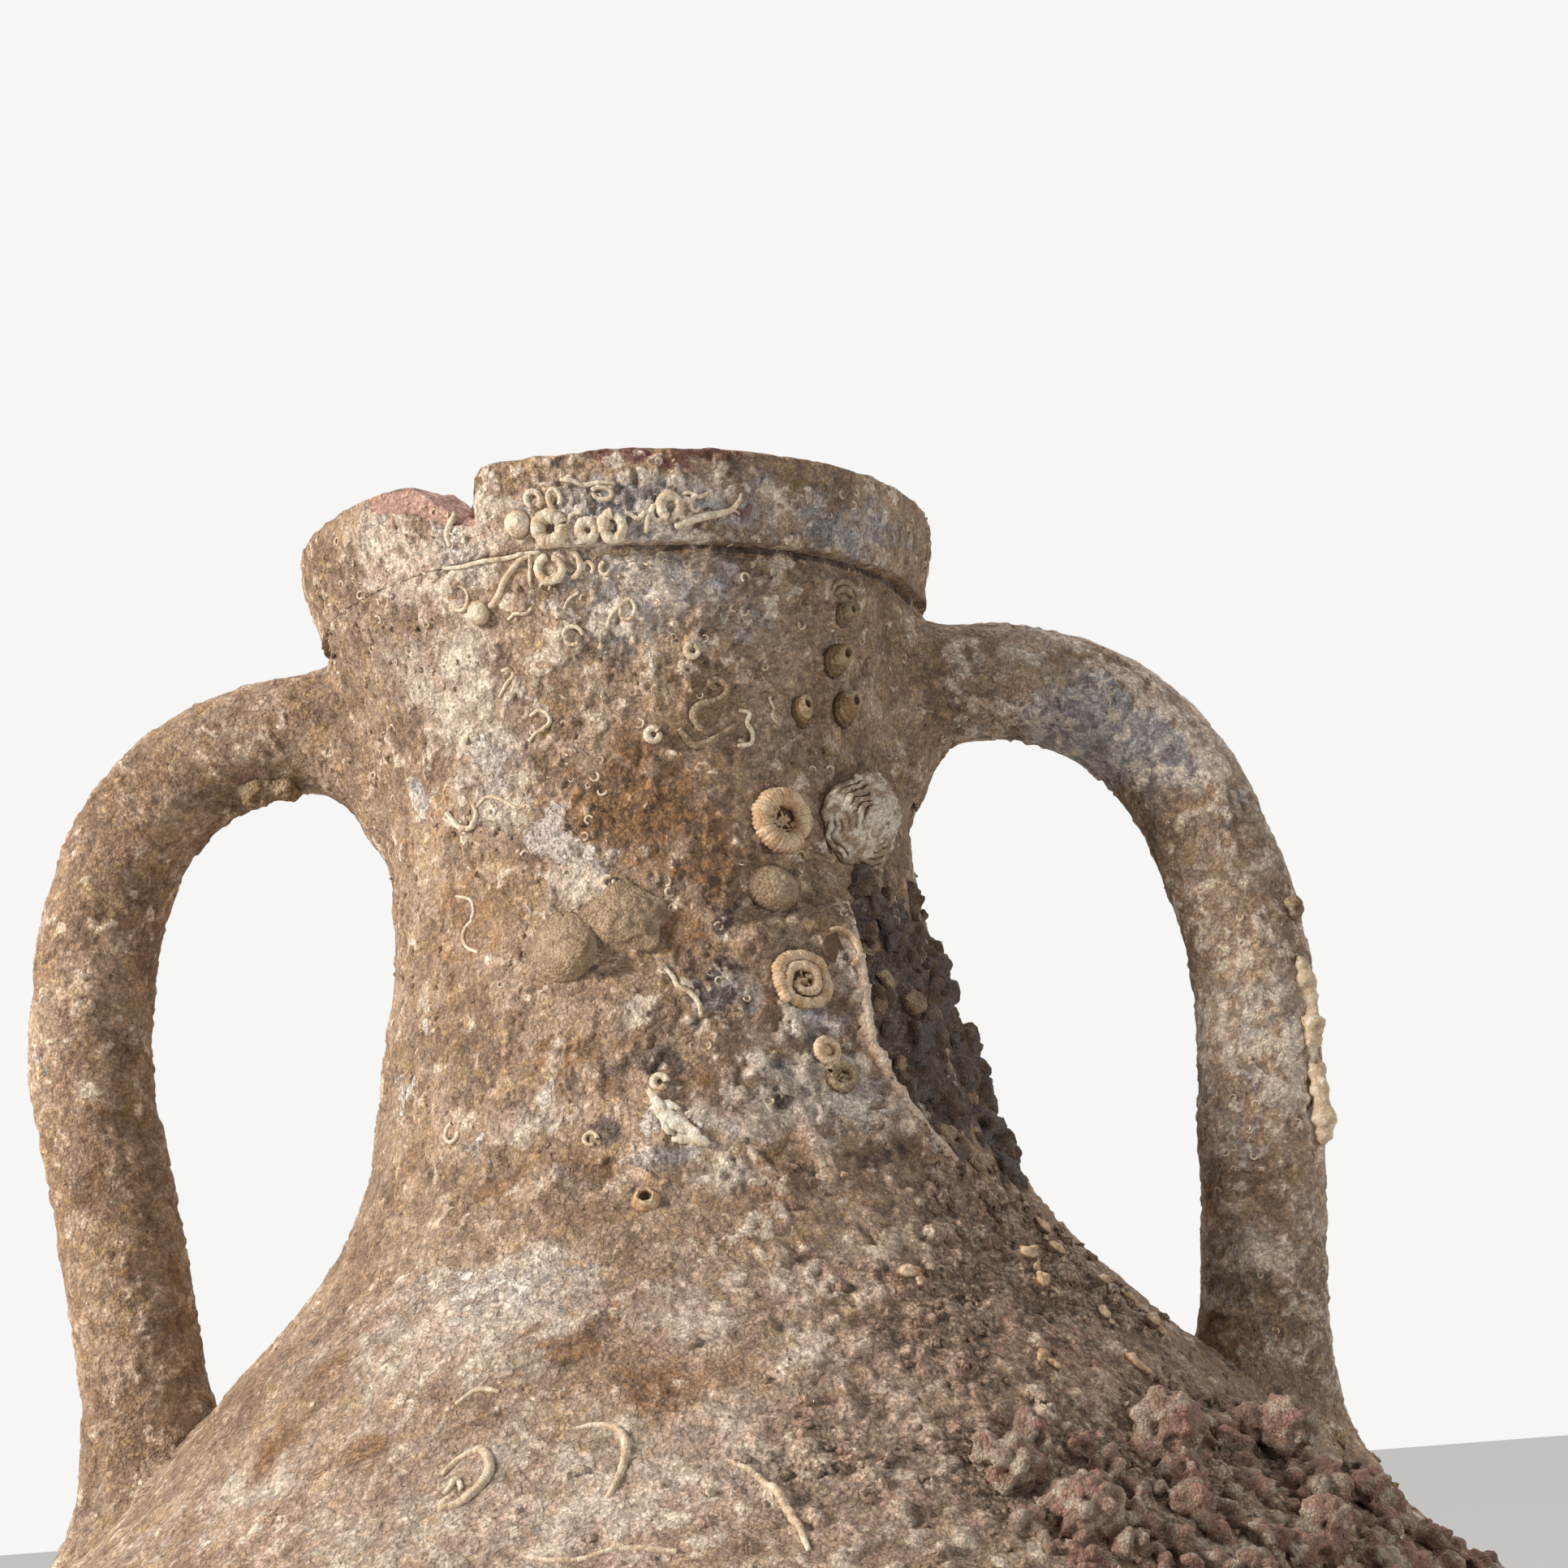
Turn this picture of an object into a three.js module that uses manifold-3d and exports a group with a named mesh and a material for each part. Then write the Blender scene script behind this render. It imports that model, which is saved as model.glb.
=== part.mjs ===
// A clay transport amphora with the growth that years in the sea left on it.
// Millimetres, +Z up. The origin is the middle of the toe's flat end.
import * as THREE from 'three';
import { mergeVertices } from 'three/addons/utils/BufferGeometryUtils.js';
import Module from 'manifold-3d';

const wasm = await Module();
wasm.setup();

// Heights of the thrown sections, from the toe up.
const toeHeight = 70;
const lowerHeight = 285;
const bellyHeight = 115;
const shoulderHeight = 122;
const neckHeight = 145;
const rimHeight = 23;

// Outer radii where the sections meet, and at the neck's waist.
const toeRadius = 25;
const toeTopRadius = 64;
const bellyRadius = 215;
const shoulderInset = 19;
const shoulderRadius = bellyRadius - shoulderInset;
const neckBaseRadius = 82.2;
const neckRadius = 68.6;
const neckTopRadius = 77.8;
const rimFootRadius = 80.5;
const rimRadius = 85;

const wall = 10;
const rimThickness = 13;
const rimEdge = 1.5;
const rimLean = 8.6;
const chipWidth = 24;
const chipDepth = 12.4;
const seatGap = 0.3;

const handleThickness = 31.5;
const handleReach = 83.7;
const handleDrop = 22;

const turnSegments = 40;
const handleSides = 14;
const handleSteps = 24;
const tubeSides = 5;
const fullTurn = Math.PI * 2;

const toeTop = toeHeight;
const lowerTop = toeTop + lowerHeight;
const bellyTop = lowerTop + bellyHeight;
const shoulderTop = bellyTop + shoulderHeight;
const neckTop = shoulderTop + neckHeight;
const rimTop = neckTop + rimHeight;

// Pairs of a height share and a radius share, from the foot of each stretch to its head.
const toeShares = [[0, -0.04], [0.12, 0], [0.42, 0.03], [0.6, 0.17], [0.8, 0.5], [1, 1]];
const lowerShares = [[0, 0], [0.09, 0.19], [0.21, 0.41], [0.35, 0.6], [0.51, 0.77], [0.67, 0.895], [0.84, 0.98], [1, 1]];
const bellyShares = [[0, 0], [0.3, 0.12], [0.56, 0.35], [0.83, 0.71], [1, 1]];
const shoulderShares = [[0, 0], [0.205, 0.193], [0.41, 0.4745], [0.615, 0.681], [0.82, 0.891], [0.93, 0.966], [1, 1]];
const neckLowShares = [[0, 0], [0.23, 0.353], [0.49, 0.64], [0.74, 0.912], [1, 1]];
const neckHighShares = [[0, 0], [0.22, 0.109], [0.45, 0.29], [0.67, 0.587], [0.9, 0.935], [1, 1]];
const rimShares = [[0, 0], [0.4, 0.6], [0.65, 0.93], [0.8, 1]];
const waistShare = 0.54;

const clay = look(0xa98d76, 0.9);
const bodyClay = look(0x9c8069, 0.92);
const shellLook = look(0xcdbfa6, 0.75);
const crustLook = look(0x8b7a69, 0.95);
const tubeLook = look(0xd8ccb6, 0.7);

function look(color, roughness) {
  return new THREE.MeshStandardMaterial({ color, roughness, metalness: 0 });
}

function stretch(shares, low, height, from, to) {
  return shares.map(([up, out]) => new THREE.Vector2(from + (to - from) * out, low + height * up));
}

const waist = shoulderTop + neckHeight * waistShare;
const toeOutline = stretch(toeShares, 0, toeHeight, toeRadius, toeTopRadius);
const lowerOutline = stretch(lowerShares, toeTop, lowerHeight, toeTopRadius, bellyRadius);
const bellyOutline = stretch(bellyShares, lowerTop, bellyHeight, bellyRadius, shoulderRadius);
const shoulderOutline = stretch(shoulderShares, bellyTop, shoulderHeight, shoulderRadius, neckBaseRadius);
const neckOutline = [
  ...stretch(neckLowShares, shoulderTop, waist - shoulderTop, neckBaseRadius, neckRadius),
  ...stretch(neckHighShares, waist, neckTop - waist, neckRadius, neckTopRadius).slice(1)];
const rimOutline = [
  ...stretch(rimShares, neckTop, rimHeight, rimFootRadius, rimRadius),
  new THREE.Vector2(rimRadius, rimTop - rimEdge),
  new THREE.Vector2(rimRadius - rimEdge, rimTop)];
const bodyOutline = [toeOutline, lowerOutline, bellyOutline, shoulderOutline, neckOutline]
  .flatMap((points, index) => (index ? points.slice(1) : points));
const jarOutline = [...bodyOutline, ...rimOutline];

function radiusAt(height) {
  for (let i = 1; i < jarOutline.length; i += 1) {
    const low = jarOutline[i - 1];
    const high = jarOutline[i];
    if (height <= high.y && high.y > low.y) {
      return low.x + (high.x - low.x) * (height - low.y) / (high.y - low.y);
    }
  }
  return rimRadius;
}

// The wall is as thick square to the clay on the slopes as on the upright neck.
function innerPoint(point) {
  const i = bodyOutline.indexOf(bodyOutline.find((other) => other.distanceTo(point) < seatGap));
  const low = bodyOutline[Math.max(i - 1, 0)];
  const high = bodyOutline[Math.min(i + 1, bodyOutline.length - 1)];
  const slope = (high.x - low.x) / (high.y - low.y);
  return new THREE.Vector2(point.x - wall * Math.hypot(1, slope), point.y);
}

function toSolid(geometry) {
  const plain = geometry.clone();
  plain.deleteAttribute('normal');
  plain.deleteAttribute('uv');
  const merged = mergeVertices(plain, seatGap / 1000);
  const corners = [];
  for (let i = 0; i < merged.index.count; i += 3) {
    const [a, b, c] = [0, 1, 2].map((k) => merged.index.getX(i + k));
    if (a !== b && b !== c && c !== a) corners.push(a, b, c);
  }
  return new wasm.Manifold(new wasm.Mesh({
    numProp: 3,
    vertProperties: merged.attributes.position.array,
    triVerts: new Uint32Array(corners)
  }));
}

function turned(points) {
  const geometry = new THREE.LatheGeometry(points, turnSegments);
  return toSolid(geometry.rotateX(Math.PI / 2));
}

function ring(outline) {
  const inner = outline.map(innerPoint).reverse();
  return turned([...outline, ...inner, outline[0]]);
}

// The whole outside, filled, standing out by a gap: growth and handles are cut by it.
function jarFilled(gap) {
  const grown = jarOutline.map((point) => new THREE.Vector2(point.x + gap, point.y));
  grown[bodyOutline.length].y -= gap;
  const last = grown[grown.length - 1];
  return turned([new THREE.Vector2(0, -gap), new THREE.Vector2(grown[0].x, -gap), ...grown.slice(1),
    new THREE.Vector2(last.x, rimTop + gap), new THREE.Vector2(0, rimTop + gap)]);
}

const jarCut = jarFilled(seatGap);

function unite(solids) {
  return solids.reduce((sum, solid) => sum.add(solid));
}

// The potter set the rim a little to one side, so the neck leans towards -X.
const leanShare = 0.15;

function leanAt(height) {
  const start = shoulderTop - neckHeight * leanShare;
  const climb = Math.max((height - start) / (rimTop - start), 0);
  return -rimLean * climb;
}

const object = new THREE.Group();

function addPiece(name, solid, material) {
  const { vertProperties, triVerts } = solid.getMesh();
  const places = new Float32Array(vertProperties);
  for (let i = 0; i < places.length; i += 3) places[i] += leanAt(places[i + 2]);
  const geometry = new THREE.BufferGeometry();
  geometry.setAttribute('position', new THREE.BufferAttribute(places, 3));
  geometry.setIndex(new THREE.BufferAttribute(new Uint32Array(triVerts), 1));
  geometry.computeVertexNormals();
  const mesh = new THREE.Mesh(geometry, material);
  mesh.name = name;
  object.add(mesh);
}

// A place on the outside: x runs level to the right, y up the wall and z straight out of it.
function seatAt(turnShare, height) {
  const angle = turnShare * fullTurn;
  const step = wall / 2;
  const rise = radiusAt(height + step) - radiusAt(height - step);
  const out = new THREE.Vector3(Math.cos(angle), Math.sin(angle), 0);
  const across = new THREE.Vector3(-out.y, out.x, 0);
  const up = out.clone().multiplyScalar(rise).add(new THREE.Vector3(0, 0, step * 2)).normalize();
  const normal = new THREE.Vector3().crossVectors(across, up);
  return new THREE.Matrix4().makeBasis(across, up, normal)
    .setPosition(out.multiplyScalar(radiusAt(height)).setZ(height));
}

const onNeck = (turnShare, share) => seatAt(turnShare, shoulderTop + neckHeight * share);
const onShoulder = (turnShare, share) => seatAt(turnShare, bellyTop + shoulderHeight * share);
const onRim = (turnShare, share) => seatAt(turnShare, neckTop + rimHeight * share);

function lump(width, length, rise) {
  return new THREE.SphereGeometry(1, 10, 7).scale(width / 2, length / 2, rise);
}

function seated(geometry, place) {
  return toSolid(geometry.clone().applyMatrix4(place));
}

function roundSection(radius, sides) {
  const points = Array.from({ length: sides }, (_, i) => {
    const angle = fullTurn * i / sides;
    return new THREE.Vector2(radius * Math.cos(angle), radius * Math.sin(angle));
  });
  return new THREE.Shape(points);
}

function tubeAlong(points, radius, steps, sides = tubeSides) {
  return new THREE.ExtrudeGeometry(roundSection(radius, sides), {
    steps,
    bevelEnabled: false,
    extrudePath: new THREE.CatmullRomCurve3(points)
  });
}

// A tube that creeps over the wall through places on it.
function creepingTube(places, radius, stepsEach) {
  const points = places.map((place) => new THREE.Vector3(0, 0, radius * 0.7).applyMatrix4(place));
  return toSolid(tubeAlong(points, radius, stepsEach * (places.length - 1)));
}

// A flat coil on a low pad, wound inwards at a steady rate.
function coil(radius, tubeRadius, turns) {
  const stepsEach = 14;
  const pitch = tubeRadius * 2 + seatGap;
  const count = Math.round(turns * stepsEach);
  const points = Array.from({ length: count + 1 }, (_, i) => {
    const angle = fullTurn * i / stepsEach;
    const reach = radius - tubeRadius - pitch * i / stepsEach;
    return new THREE.Vector3(reach * Math.cos(angle), reach * Math.sin(angle), tubeRadius);
  });
  return [tubeAlong(points, tubeRadius, count), lump(radius * 2, radius * 2, tubeRadius)];
}

// A closed ring of tube that lies flat on the wall.
function flatRing(radius, tubeRadius) {
  return new THREE.TorusGeometry(radius - tubeRadius, tubeRadius, tubeSides, 10).translate(0, 0, tubeRadius / 2);
}

// Small worn cones: a limpet comes to a blunt point, and a barnacle has a crater.
const limpetShares = [[0, -0.5], [1, -0.5], [1, 0], [0.78, 0.5], [0.42, 0.85], [0, 1]];
const craterShares = [[0, -1], [1, -1], [1, 0], [0.62, 0.85], [0.5, 1], [0.36, 0.8], [0.3, 0.3], [0, 0.25]];

function worn(shares, radius, height) {
  const points = shares.map(([out, up]) => new THREE.Vector2(radius * out, height * up));
  return new THREE.LatheGeometry(points, 12).rotateX(Math.PI / 2);
}

function handlePath() {
  const high = neckTop - handleDrop;
  const low = bellyTop + shoulderHeight * 0.25;
  const rootShares = [[-0.111, 0.927], [0.165, 1], [0.58, 0.973], [0.851, 0.871], [1, 0.642], [0.942, 0.382]];
  const footShares = [[0.5, 0.185], [-0.64, 0]];
  const root = rootShares.map(([out, up]) =>
    new THREE.Vector3(neckRadius + handleReach * out, 0, low + (high - low) * up));
  const foot = footShares.map(([out, up]) => {
    const height = low + (high - low) * up;
    return new THREE.Vector3(radiusAt(height) + handleThickness * out, 0, height);
  });
  return [...root, ...foot];
}

// A pulled handle of round section, thicker where it was pressed on to the neck.
function handle(gap) {
  const path = handlePath();
  const radius = handleThickness / 2 + gap;
  const flareShares = [1.35, 1.1, 1.22];
  const flare = new THREE.SphereGeometry(1, handleSides, 10)
    .scale(...flareShares.map((share) => radius * share))
    .translate(path[1].x, 0, path[1].z);
  return toSolid(tubeAlong(path, radius, handleSteps, handleSides)).add(toSolid(flare));
}

const handleTurns = { handle_left: Math.PI, handle_right: 0 };
const turnAbout = (solid, angle) => solid.rotate([0, 0, THREE.MathUtils.radToDeg(angle)]);
const handleCut = Object.fromEntries(Object.entries(handleTurns)
  .map(([name, angle]) => [name, turnAbout(handle(seatGap), angle)]));

function rimChip() {
  const shares = [[0.5, 0.2], [0.42, -0.4], [0.3, -1], [0.18, -0.94], [0, -0.6], [-0.2, -0.32], [-0.5, 0.2]];
  const shape = new THREE.Shape(shares.map(([out, up]) => new THREE.Vector2(chipWidth * out, chipDepth * up)));
  const depth = rimThickness * 3;
  const block = new THREE.ExtrudeGeometry(shape, { depth, bevelEnabled: false }).translate(0, 0, -depth / 2);
  const turnShare = 0.682;
  const angle = turnShare * fullTurn;
  const out = new THREE.Vector3(Math.cos(angle), Math.sin(angle), 0);
  const across = new THREE.Vector3(-out.y, out.x, 0);
  const place = new THREE.Matrix4().makeBasis(across, new THREE.Vector3(0, 0, 1), out)
    .setPosition(out.clone().multiplyScalar(rimRadius - rimThickness / 2).setZ(rimTop));
  return seated(block, place);
}

function rim() {
  const innerFoot = innerPoint(neckOutline[neckOutline.length - 1]);
  const innerTop = rimRadius - rimThickness;
  const inner = [
    new THREE.Vector2(innerTop + rimEdge, rimTop),
    new THREE.Vector2(innerTop, rimTop - rimEdge),
    innerFoot];
  return turned([...rimOutline, ...inner, rimOutline[0]]).subtract(rimChip());
}

addPiece('rim_collar', rim(), clay);
addPiece('neck', ring(neckOutline), clay);
addPiece('shoulder', ring(shoulderOutline), clay);
addPiece('belly', ring(bellyOutline), bodyClay);
addPiece('lower_body', ring(lowerOutline), bodyClay);
addPiece('toe', turned([new THREE.Vector2(0, 0), ...toeOutline, new THREE.Vector2(0, toeTop)]), bodyClay);
for (const [name, angle] of Object.entries(handleTurns)) {
  addPiece(name, turnAbout(handle(0), angle).subtract(jarCut), clay);
}

// The oyster is three worn scales, each smaller and further out than the last.
const oysterWidth = 25;
const oysterRise = 7;

function oyster() {
  const scaleShares = [[1, 0, 0.7], [0.76, 0.08, 0.92], [0.48, 0.14, 1]];
  return unite(scaleShares.map(([size, up, rise]) => {
    const scale = lump(oysterWidth * size, oysterWidth * size, oysterRise * rise);
    return seated(scale.translate(0, oysterWidth * up, 0), onNeck(0.895, 0.546));
  }));
}

const upperCoilRadius = 7.8;
const upperCoilTube = 1.7;
const lowerCoilRadius = 7.3;
const lowerCoilTube = 1.2;

function seatedCoil(radius, tubeRadius, turns, place) {
  return unite(coil(radius, tubeRadius, turns).map((geometry) => seated(geometry, place)));
}

const bumpWidth = 13;
const bumpRise = 4;
const halfRingRadius = 5;
const halfRingTube = 1.5;

function halfRing() {
  const points = Array.from({ length: 9 }, (_, i) => {
    const angle = fullTurn * (i / 8 * 0.62 - 0.16);
    const reach = halfRingRadius - halfRingTube;
    return new THREE.Vector3(reach * Math.cos(angle), reach * Math.sin(angle), halfRingTube / 2);
  });
  return seated(tubeAlong(points, halfRingTube, 8), onNeck(0.8535, 0.313));
}

// A thin broken sheet of crust stands up from the neck along a wavering line.
const plateRise = 8;
const plateThickness = 1.6;

function crustPlate(gap) {
  const lineShares = [[0.87, 0.378, 0.5], [0.8655, 0.3, 0.9], [0.862, 0.221, 1], [0.8585, 0.152, 0.9],
    [0.865, 0.085, 0.85], [0.871, 0.043, 0.8], [0.8815, -0.025, 0.6], [0.8931, -0.053, 0.4]];
  const corners = [];
  const faces = [];
  const half = plateThickness / 2 + gap;
  lineShares.forEach(([turn, up, rise], i) => {
    const place = onNeck(turn, up);
    const top = plateRise * rise + gap;
    for (const [x, z] of [[-half, -wall / 2], [half, -wall / 2], [half, top], [-half, top]]) {
      corners.push(...new THREE.Vector3(x, 0, z).applyMatrix4(place).toArray());
    }
    if (!i) return;
    for (let k = 0; k < 4; k += 1) {
      const [a, b] = [(i - 1) * 4 + k, (i - 1) * 4 + (k + 1) % 4];
      faces.push(a, b, b + 4, a, b + 4, a + 4);
    }
  });
  const end = (lineShares.length - 1) * 4;
  faces.push(0, 2, 1, 0, 3, 2, end, end + 1, end + 2, end, end + 2, end + 3);
  const geometry = new THREE.BufferGeometry();
  geometry.setAttribute('position', new THREE.Float32BufferAttribute(corners, 3));
  geometry.setIndex(faces);
  return toSolid(geometry);
}

// Lumps that keep together round a place: each row is a share across it, a share up the wall and a size share.
function cluster(rows, turn, height, width, rise) {
  const step = wall / 2;
  const climb = wall / Math.hypot(radiusAt(height + step) - radiusAt(height - step), wall);
  return unite(rows.map(([across, up, size]) => {
    const place = seatAt(turn + across * width / (fullTurn * radiusAt(height)), height + up * width * climb);
    return seated(lump(width * size, width * size, rise * size), place);
  }));
}

const massWidth = 30;
const massRise = 5.5;
const massShares = [[-0.41, 0.94, 0.5], [0.02, 0.7, 0.7], [-0.3, 0.34, 0.68], [0.27, 0.2, 0.75], [-0.1, -0.2, 0.75],
  [0.38, -0.39, 0.85], [-0.29, -0.64, 0.6], [0.14, -0.79, 0.8]];
const smallShellWidth = 9;
const smallShellRise = 4.5;
const smallShellShares = [[-0.53, 0.81, 0.9], [0.12, 0.36, 1], [-0.15, -0.63, 1.1], [0.56, -0.36, 0.8]];

const limpetRadius = 9.6;
const limpetRise = 8;
const moundWidth = 11;
const moundRise = 3.5;
const barnacleRadius = 3.4;
const barnacleRise = 2.6;
const ringShellRadius = 4;
const ringShellTube = 1.3;
const ringShellSmallRadius = 3.3;

const collarTube = 1.3;
const collarRing = 2.8;
const longTube = 1.1;
const neckTube = 1.2;

// One tube runs along the foot of the band, and small rings sit on it.
function collarTubes() {
  const lineShares = [[0.712, 0.24], [0.7245, 0.44], [0.735, 0.2], [0.749, 0.12], [0.761, 0.2], [0.774, 0.3], [0.787, 0.2],
    [0.8, 0.26], [0.814, 0.2], [0.827, 0.34]];
  const ringShares = [[0.7245, 0.52], [0.7305, 0.16], [0.7475, 0.15], [0.7595, 0.15], [0.782, 0.28], [0.7915, 0.22]];
  const rings = ringShares.map(([turn, up]) => seated(flatRing(collarRing, collarTube * 0.8), onRim(turn, up)));
  return unite([creepingTube(lineShares.map((share) => onRim(...share)), collarTube, 3), ...rings]);
}

function longTubeLeft() {
  const tube = creepingTube([onRim(0.671, 0.2), onRim(0.676, 0.04), onNeck(0.681, 0.95), onNeck(0.685, 0.91)], longTube, 4);
  return tube.add(seated(lump(longTube * 3, longTube * 3, longTube * 1.5), onNeck(0.685, 0.91)));
}

function neckWorm() {
  const lineShares = [[0.8145, 0.752], [0.803, 0.762], [0.796, 0.735], [0.803, 0.708], [0.8155, 0.694], [0.8145, 0.662],
    [0.8015, 0.652], [0.7915, 0.666]];
  return creepingTube(lineShares.map((share) => onNeck(...share)), neckTube, 3);
}

const cupWidth = 7.6;
const cupRise = 4.4;

// Each small shell is a pointed cup: a wide base with a smaller beak above it.
function cupShell(turn, up, size) {
  return unite([[1, 0, 0.75], [0.6, 0.22, 1]].map(([width, shift, rise]) =>
    seated(lump(cupWidth * width * size, cupWidth * width * size, cupRise * rise * size)
      .translate(0, cupWidth * shift * size, 0), onNeck(turn, up))));
}

const jarGrowth = {
  oyster: [oyster(), shellLook],
  worm_coil_upper: [seatedCoil(upperCoilRadius, upperCoilTube, 1.3, onNeck(0.8385, 0.541)), tubeLook],
  worm_coil_lower: [seatedCoil(lowerCoilRadius, lowerCoilTube, 1.9, onNeck(0.8303, 0.262)), tubeLook],
  shell_bump: [seated(lump(bumpWidth, bumpWidth, bumpRise), onNeck(0.8272, 0.422)), crustLook],
  half_ring_shell: [halfRing(), tubeLook],
  crust_plate: [crustPlate(0), shellLook],
  ring_shell_upper: [seated(flatRing(ringShellSmallRadius, ringShellTube), onNeck(0.8336, 0.151)), shellLook],
  ring_shell_lower: [seated(flatRing(ringShellRadius, ringShellTube), onNeck(0.8372, 0.092)), shellLook],
  limpet: [seated(worn(limpetShares, limpetRadius, limpetRise), onNeck(0.7078, 0.348)), crustLook],
  crust_mound: [seated(lump(moundWidth, moundWidth, moundRise), onNeck(0.742, 0.4)), crustLook],
  barnacle_front: [seated(worn(craterShares, barnacleRadius, barnacleRise), onShoulder(0.7425, 0.905)), shellLook],
  collar_tube_cluster: [collarTubes(), tubeLook],
  collar_tube_left: [longTubeLeft(), tubeLook],
  worm_tube_neck: [neckWorm(), tubeLook],
  string_shell_top: [cupShell(0.8856, 0.919, 0.9), shellLook],
  string_shell_middle: [cupShell(0.88, 0.84, 1.1), shellLook],
  string_shell_left: [cupShell(0.8561, 0.743, 0.9), shellLook],
  string_shell_low: [cupShell(0.8869, 0.75, 1.1), shellLook]
};
const shellPlace = [0.9055, shoulderTop - neckHeight * 0.04];
const massPlace = [0.948, shoulderTop + neckHeight * 0.18];
const coralPlace = [0.89, bellyTop + shoulderHeight * 0.22];
const smallShells = cluster(smallShellShares, ...shellPlace, smallShellWidth, smallShellRise);
jarGrowth.small_shell_cluster = [smallShells.subtract(crustPlate(seatGap)), shellLook];

// A place on a handle: along it from the neck, and around it from its outer side towards the front.
function onHandle(name, along, aroundShare) {
  const curve = new THREE.CatmullRomCurve3(handlePath());
  const tangent = curve.getTangentAt(along);
  const front = new THREE.Vector3(0, name === 'handle_right' ? -1 : 1, 0);
  const outer = new THREE.Vector3(-tangent.z, 0, tangent.x);
  const angle = aroundShare * fullTurn;
  const normal = outer.multiplyScalar(Math.cos(angle)).addScaledVector(front, Math.sin(angle));
  const across = new THREE.Vector3().crossVectors(tangent, normal);
  const place = new THREE.Matrix4().makeBasis(across, tangent, normal)
    .setPosition(curve.getPointAt(along).addScaledVector(normal, handleThickness / 2));
  return place.premultiply(new THREE.Matrix4().makeRotationZ(handleTurns[name]));
}

const rightLumpWidth = 9;
const rightLumpRise = 3.5;
const leftLumpWidth = 19;
const leftLumpRise = 5;
const stripRadius = 3.5;

function handleStrip() {
  const shares = [[0.53, 0.1], [0.57, 0.12], [0.61, 0.1], [0.65, 0.13], [0.69, 0.11]];
  const places = shares.map(([along, around]) => onHandle('handle_right', along, around));
  const points = places.map((place) => new THREE.Vector3().applyMatrix4(place));
  return toSolid(tubeAlong(points, stripRadius, 8, 8));
}

const handleGrowth = {
  handle_left_concretion: [
    seated(lump(leftLumpWidth, leftLumpWidth, leftLumpRise), onHandle('handle_left', 0.17, 0.44)), 'handle_left'],
  handle_right_growth: [handleStrip(), 'handle_right'],
  handle_right_lump: [
    seated(lump(rightLumpWidth, rightLumpWidth, rightLumpRise), onHandle('handle_right', 0.49, 0.11)), 'handle_right']
};

const coralWidth = 34;
const coralRise = 13;
const coralShares = [[-2.03, 0.49, 0.8], [-1.46, 0.11, 0.95], [-0.86, 0.44, 0.95], [-0.29, 0.05, 0.95], [0.32, 0.6, 1],
  [0.95, 0.22, 1.05], [1.59, 0.55, 1], [-1.11, -0.55, 0.85], [-0.1, -0.6, 0.9], [1.02, -0.55, 0.9], [1.9, -0.27, 0.95]];
const neckMass = cluster(massShares, ...massPlace, massWidth, massRise)
  .subtract(crustPlate(seatGap))
  .subtract(cluster(smallShellShares, ...shellPlace, smallShellWidth + seatGap * 2, smallShellRise + seatGap));
jarGrowth.neck_concretion = [neckMass.subtract(handleCut.handle_right), crustLook];
const coral = cluster(coralShares, ...coralPlace, coralWidth, coralRise);
jarGrowth.shoulder_concretion = [coral.subtract(handleCut.handle_right), crustLook];

for (const [name, [solid, material]] of Object.entries(jarGrowth)) {
  addPiece(name, solid.subtract(jarCut), material);
}
for (const [name, [solid, holder]] of Object.entries(handleGrowth)) {
  addPiece(name, solid.subtract(handleCut[holder]), crustLook);
}

export default object;
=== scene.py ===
import itertools
import math

import bmesh
import bpy
import numpy as np
from mathutils import Matrix, Vector


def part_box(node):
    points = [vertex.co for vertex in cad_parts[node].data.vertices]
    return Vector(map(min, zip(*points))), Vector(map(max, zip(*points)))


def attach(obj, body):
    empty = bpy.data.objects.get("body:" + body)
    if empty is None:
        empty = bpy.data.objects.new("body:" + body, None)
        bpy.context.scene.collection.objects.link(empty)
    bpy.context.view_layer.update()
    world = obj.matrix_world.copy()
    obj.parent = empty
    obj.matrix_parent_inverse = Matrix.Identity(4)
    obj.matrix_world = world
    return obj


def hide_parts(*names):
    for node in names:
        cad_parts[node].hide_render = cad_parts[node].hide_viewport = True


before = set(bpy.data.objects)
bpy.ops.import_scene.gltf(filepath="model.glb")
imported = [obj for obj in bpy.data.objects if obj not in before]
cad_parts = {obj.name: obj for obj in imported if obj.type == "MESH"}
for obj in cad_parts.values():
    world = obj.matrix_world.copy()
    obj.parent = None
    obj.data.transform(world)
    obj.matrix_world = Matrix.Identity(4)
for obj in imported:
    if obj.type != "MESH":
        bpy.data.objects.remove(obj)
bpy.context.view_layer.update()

# Toe, lower body and belly
# The jar stands on a solid peg toe. The lower body and the belly were thrown in coarse buff clay
# and luted together. Years in the sea left the skin pitted, with lime, iron and silt stains.

mm = 0.001
toe_top, lower_top, belly_top, shoulder_top, neck_top, rim_top = 70, 355, 470, 592, 737, 760
outline = np.array([
    (0, 23.4), (8.4, 25), (29.4, 26.2), (42, 31.6), (56, 44.5), (70, 64),
    (95.7, 92.7), (129.9, 125.9), (169.8, 154.6), (215.4, 180.3), (261, 199.1), (309.4, 212), (355, 215),
    (389.5, 212.7), (419.4, 208.4), (450.5, 201.5), (470, 196),
    (495, 174), (520, 142), (545, 118.5), (570, 94.6), (583.5, 86.1), (592, 82.2),
    (610, 77.4), (630.4, 73.5), (649.9, 69.8), (670.3, 68.6), (685, 69.6), (700.3, 71.3), (715, 74),
    (730, 77.2), (737, 77.8)])
clay_wall, neck_waist = 10, 72
lean_start, rim_lean = 570.25, 8.6


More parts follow.
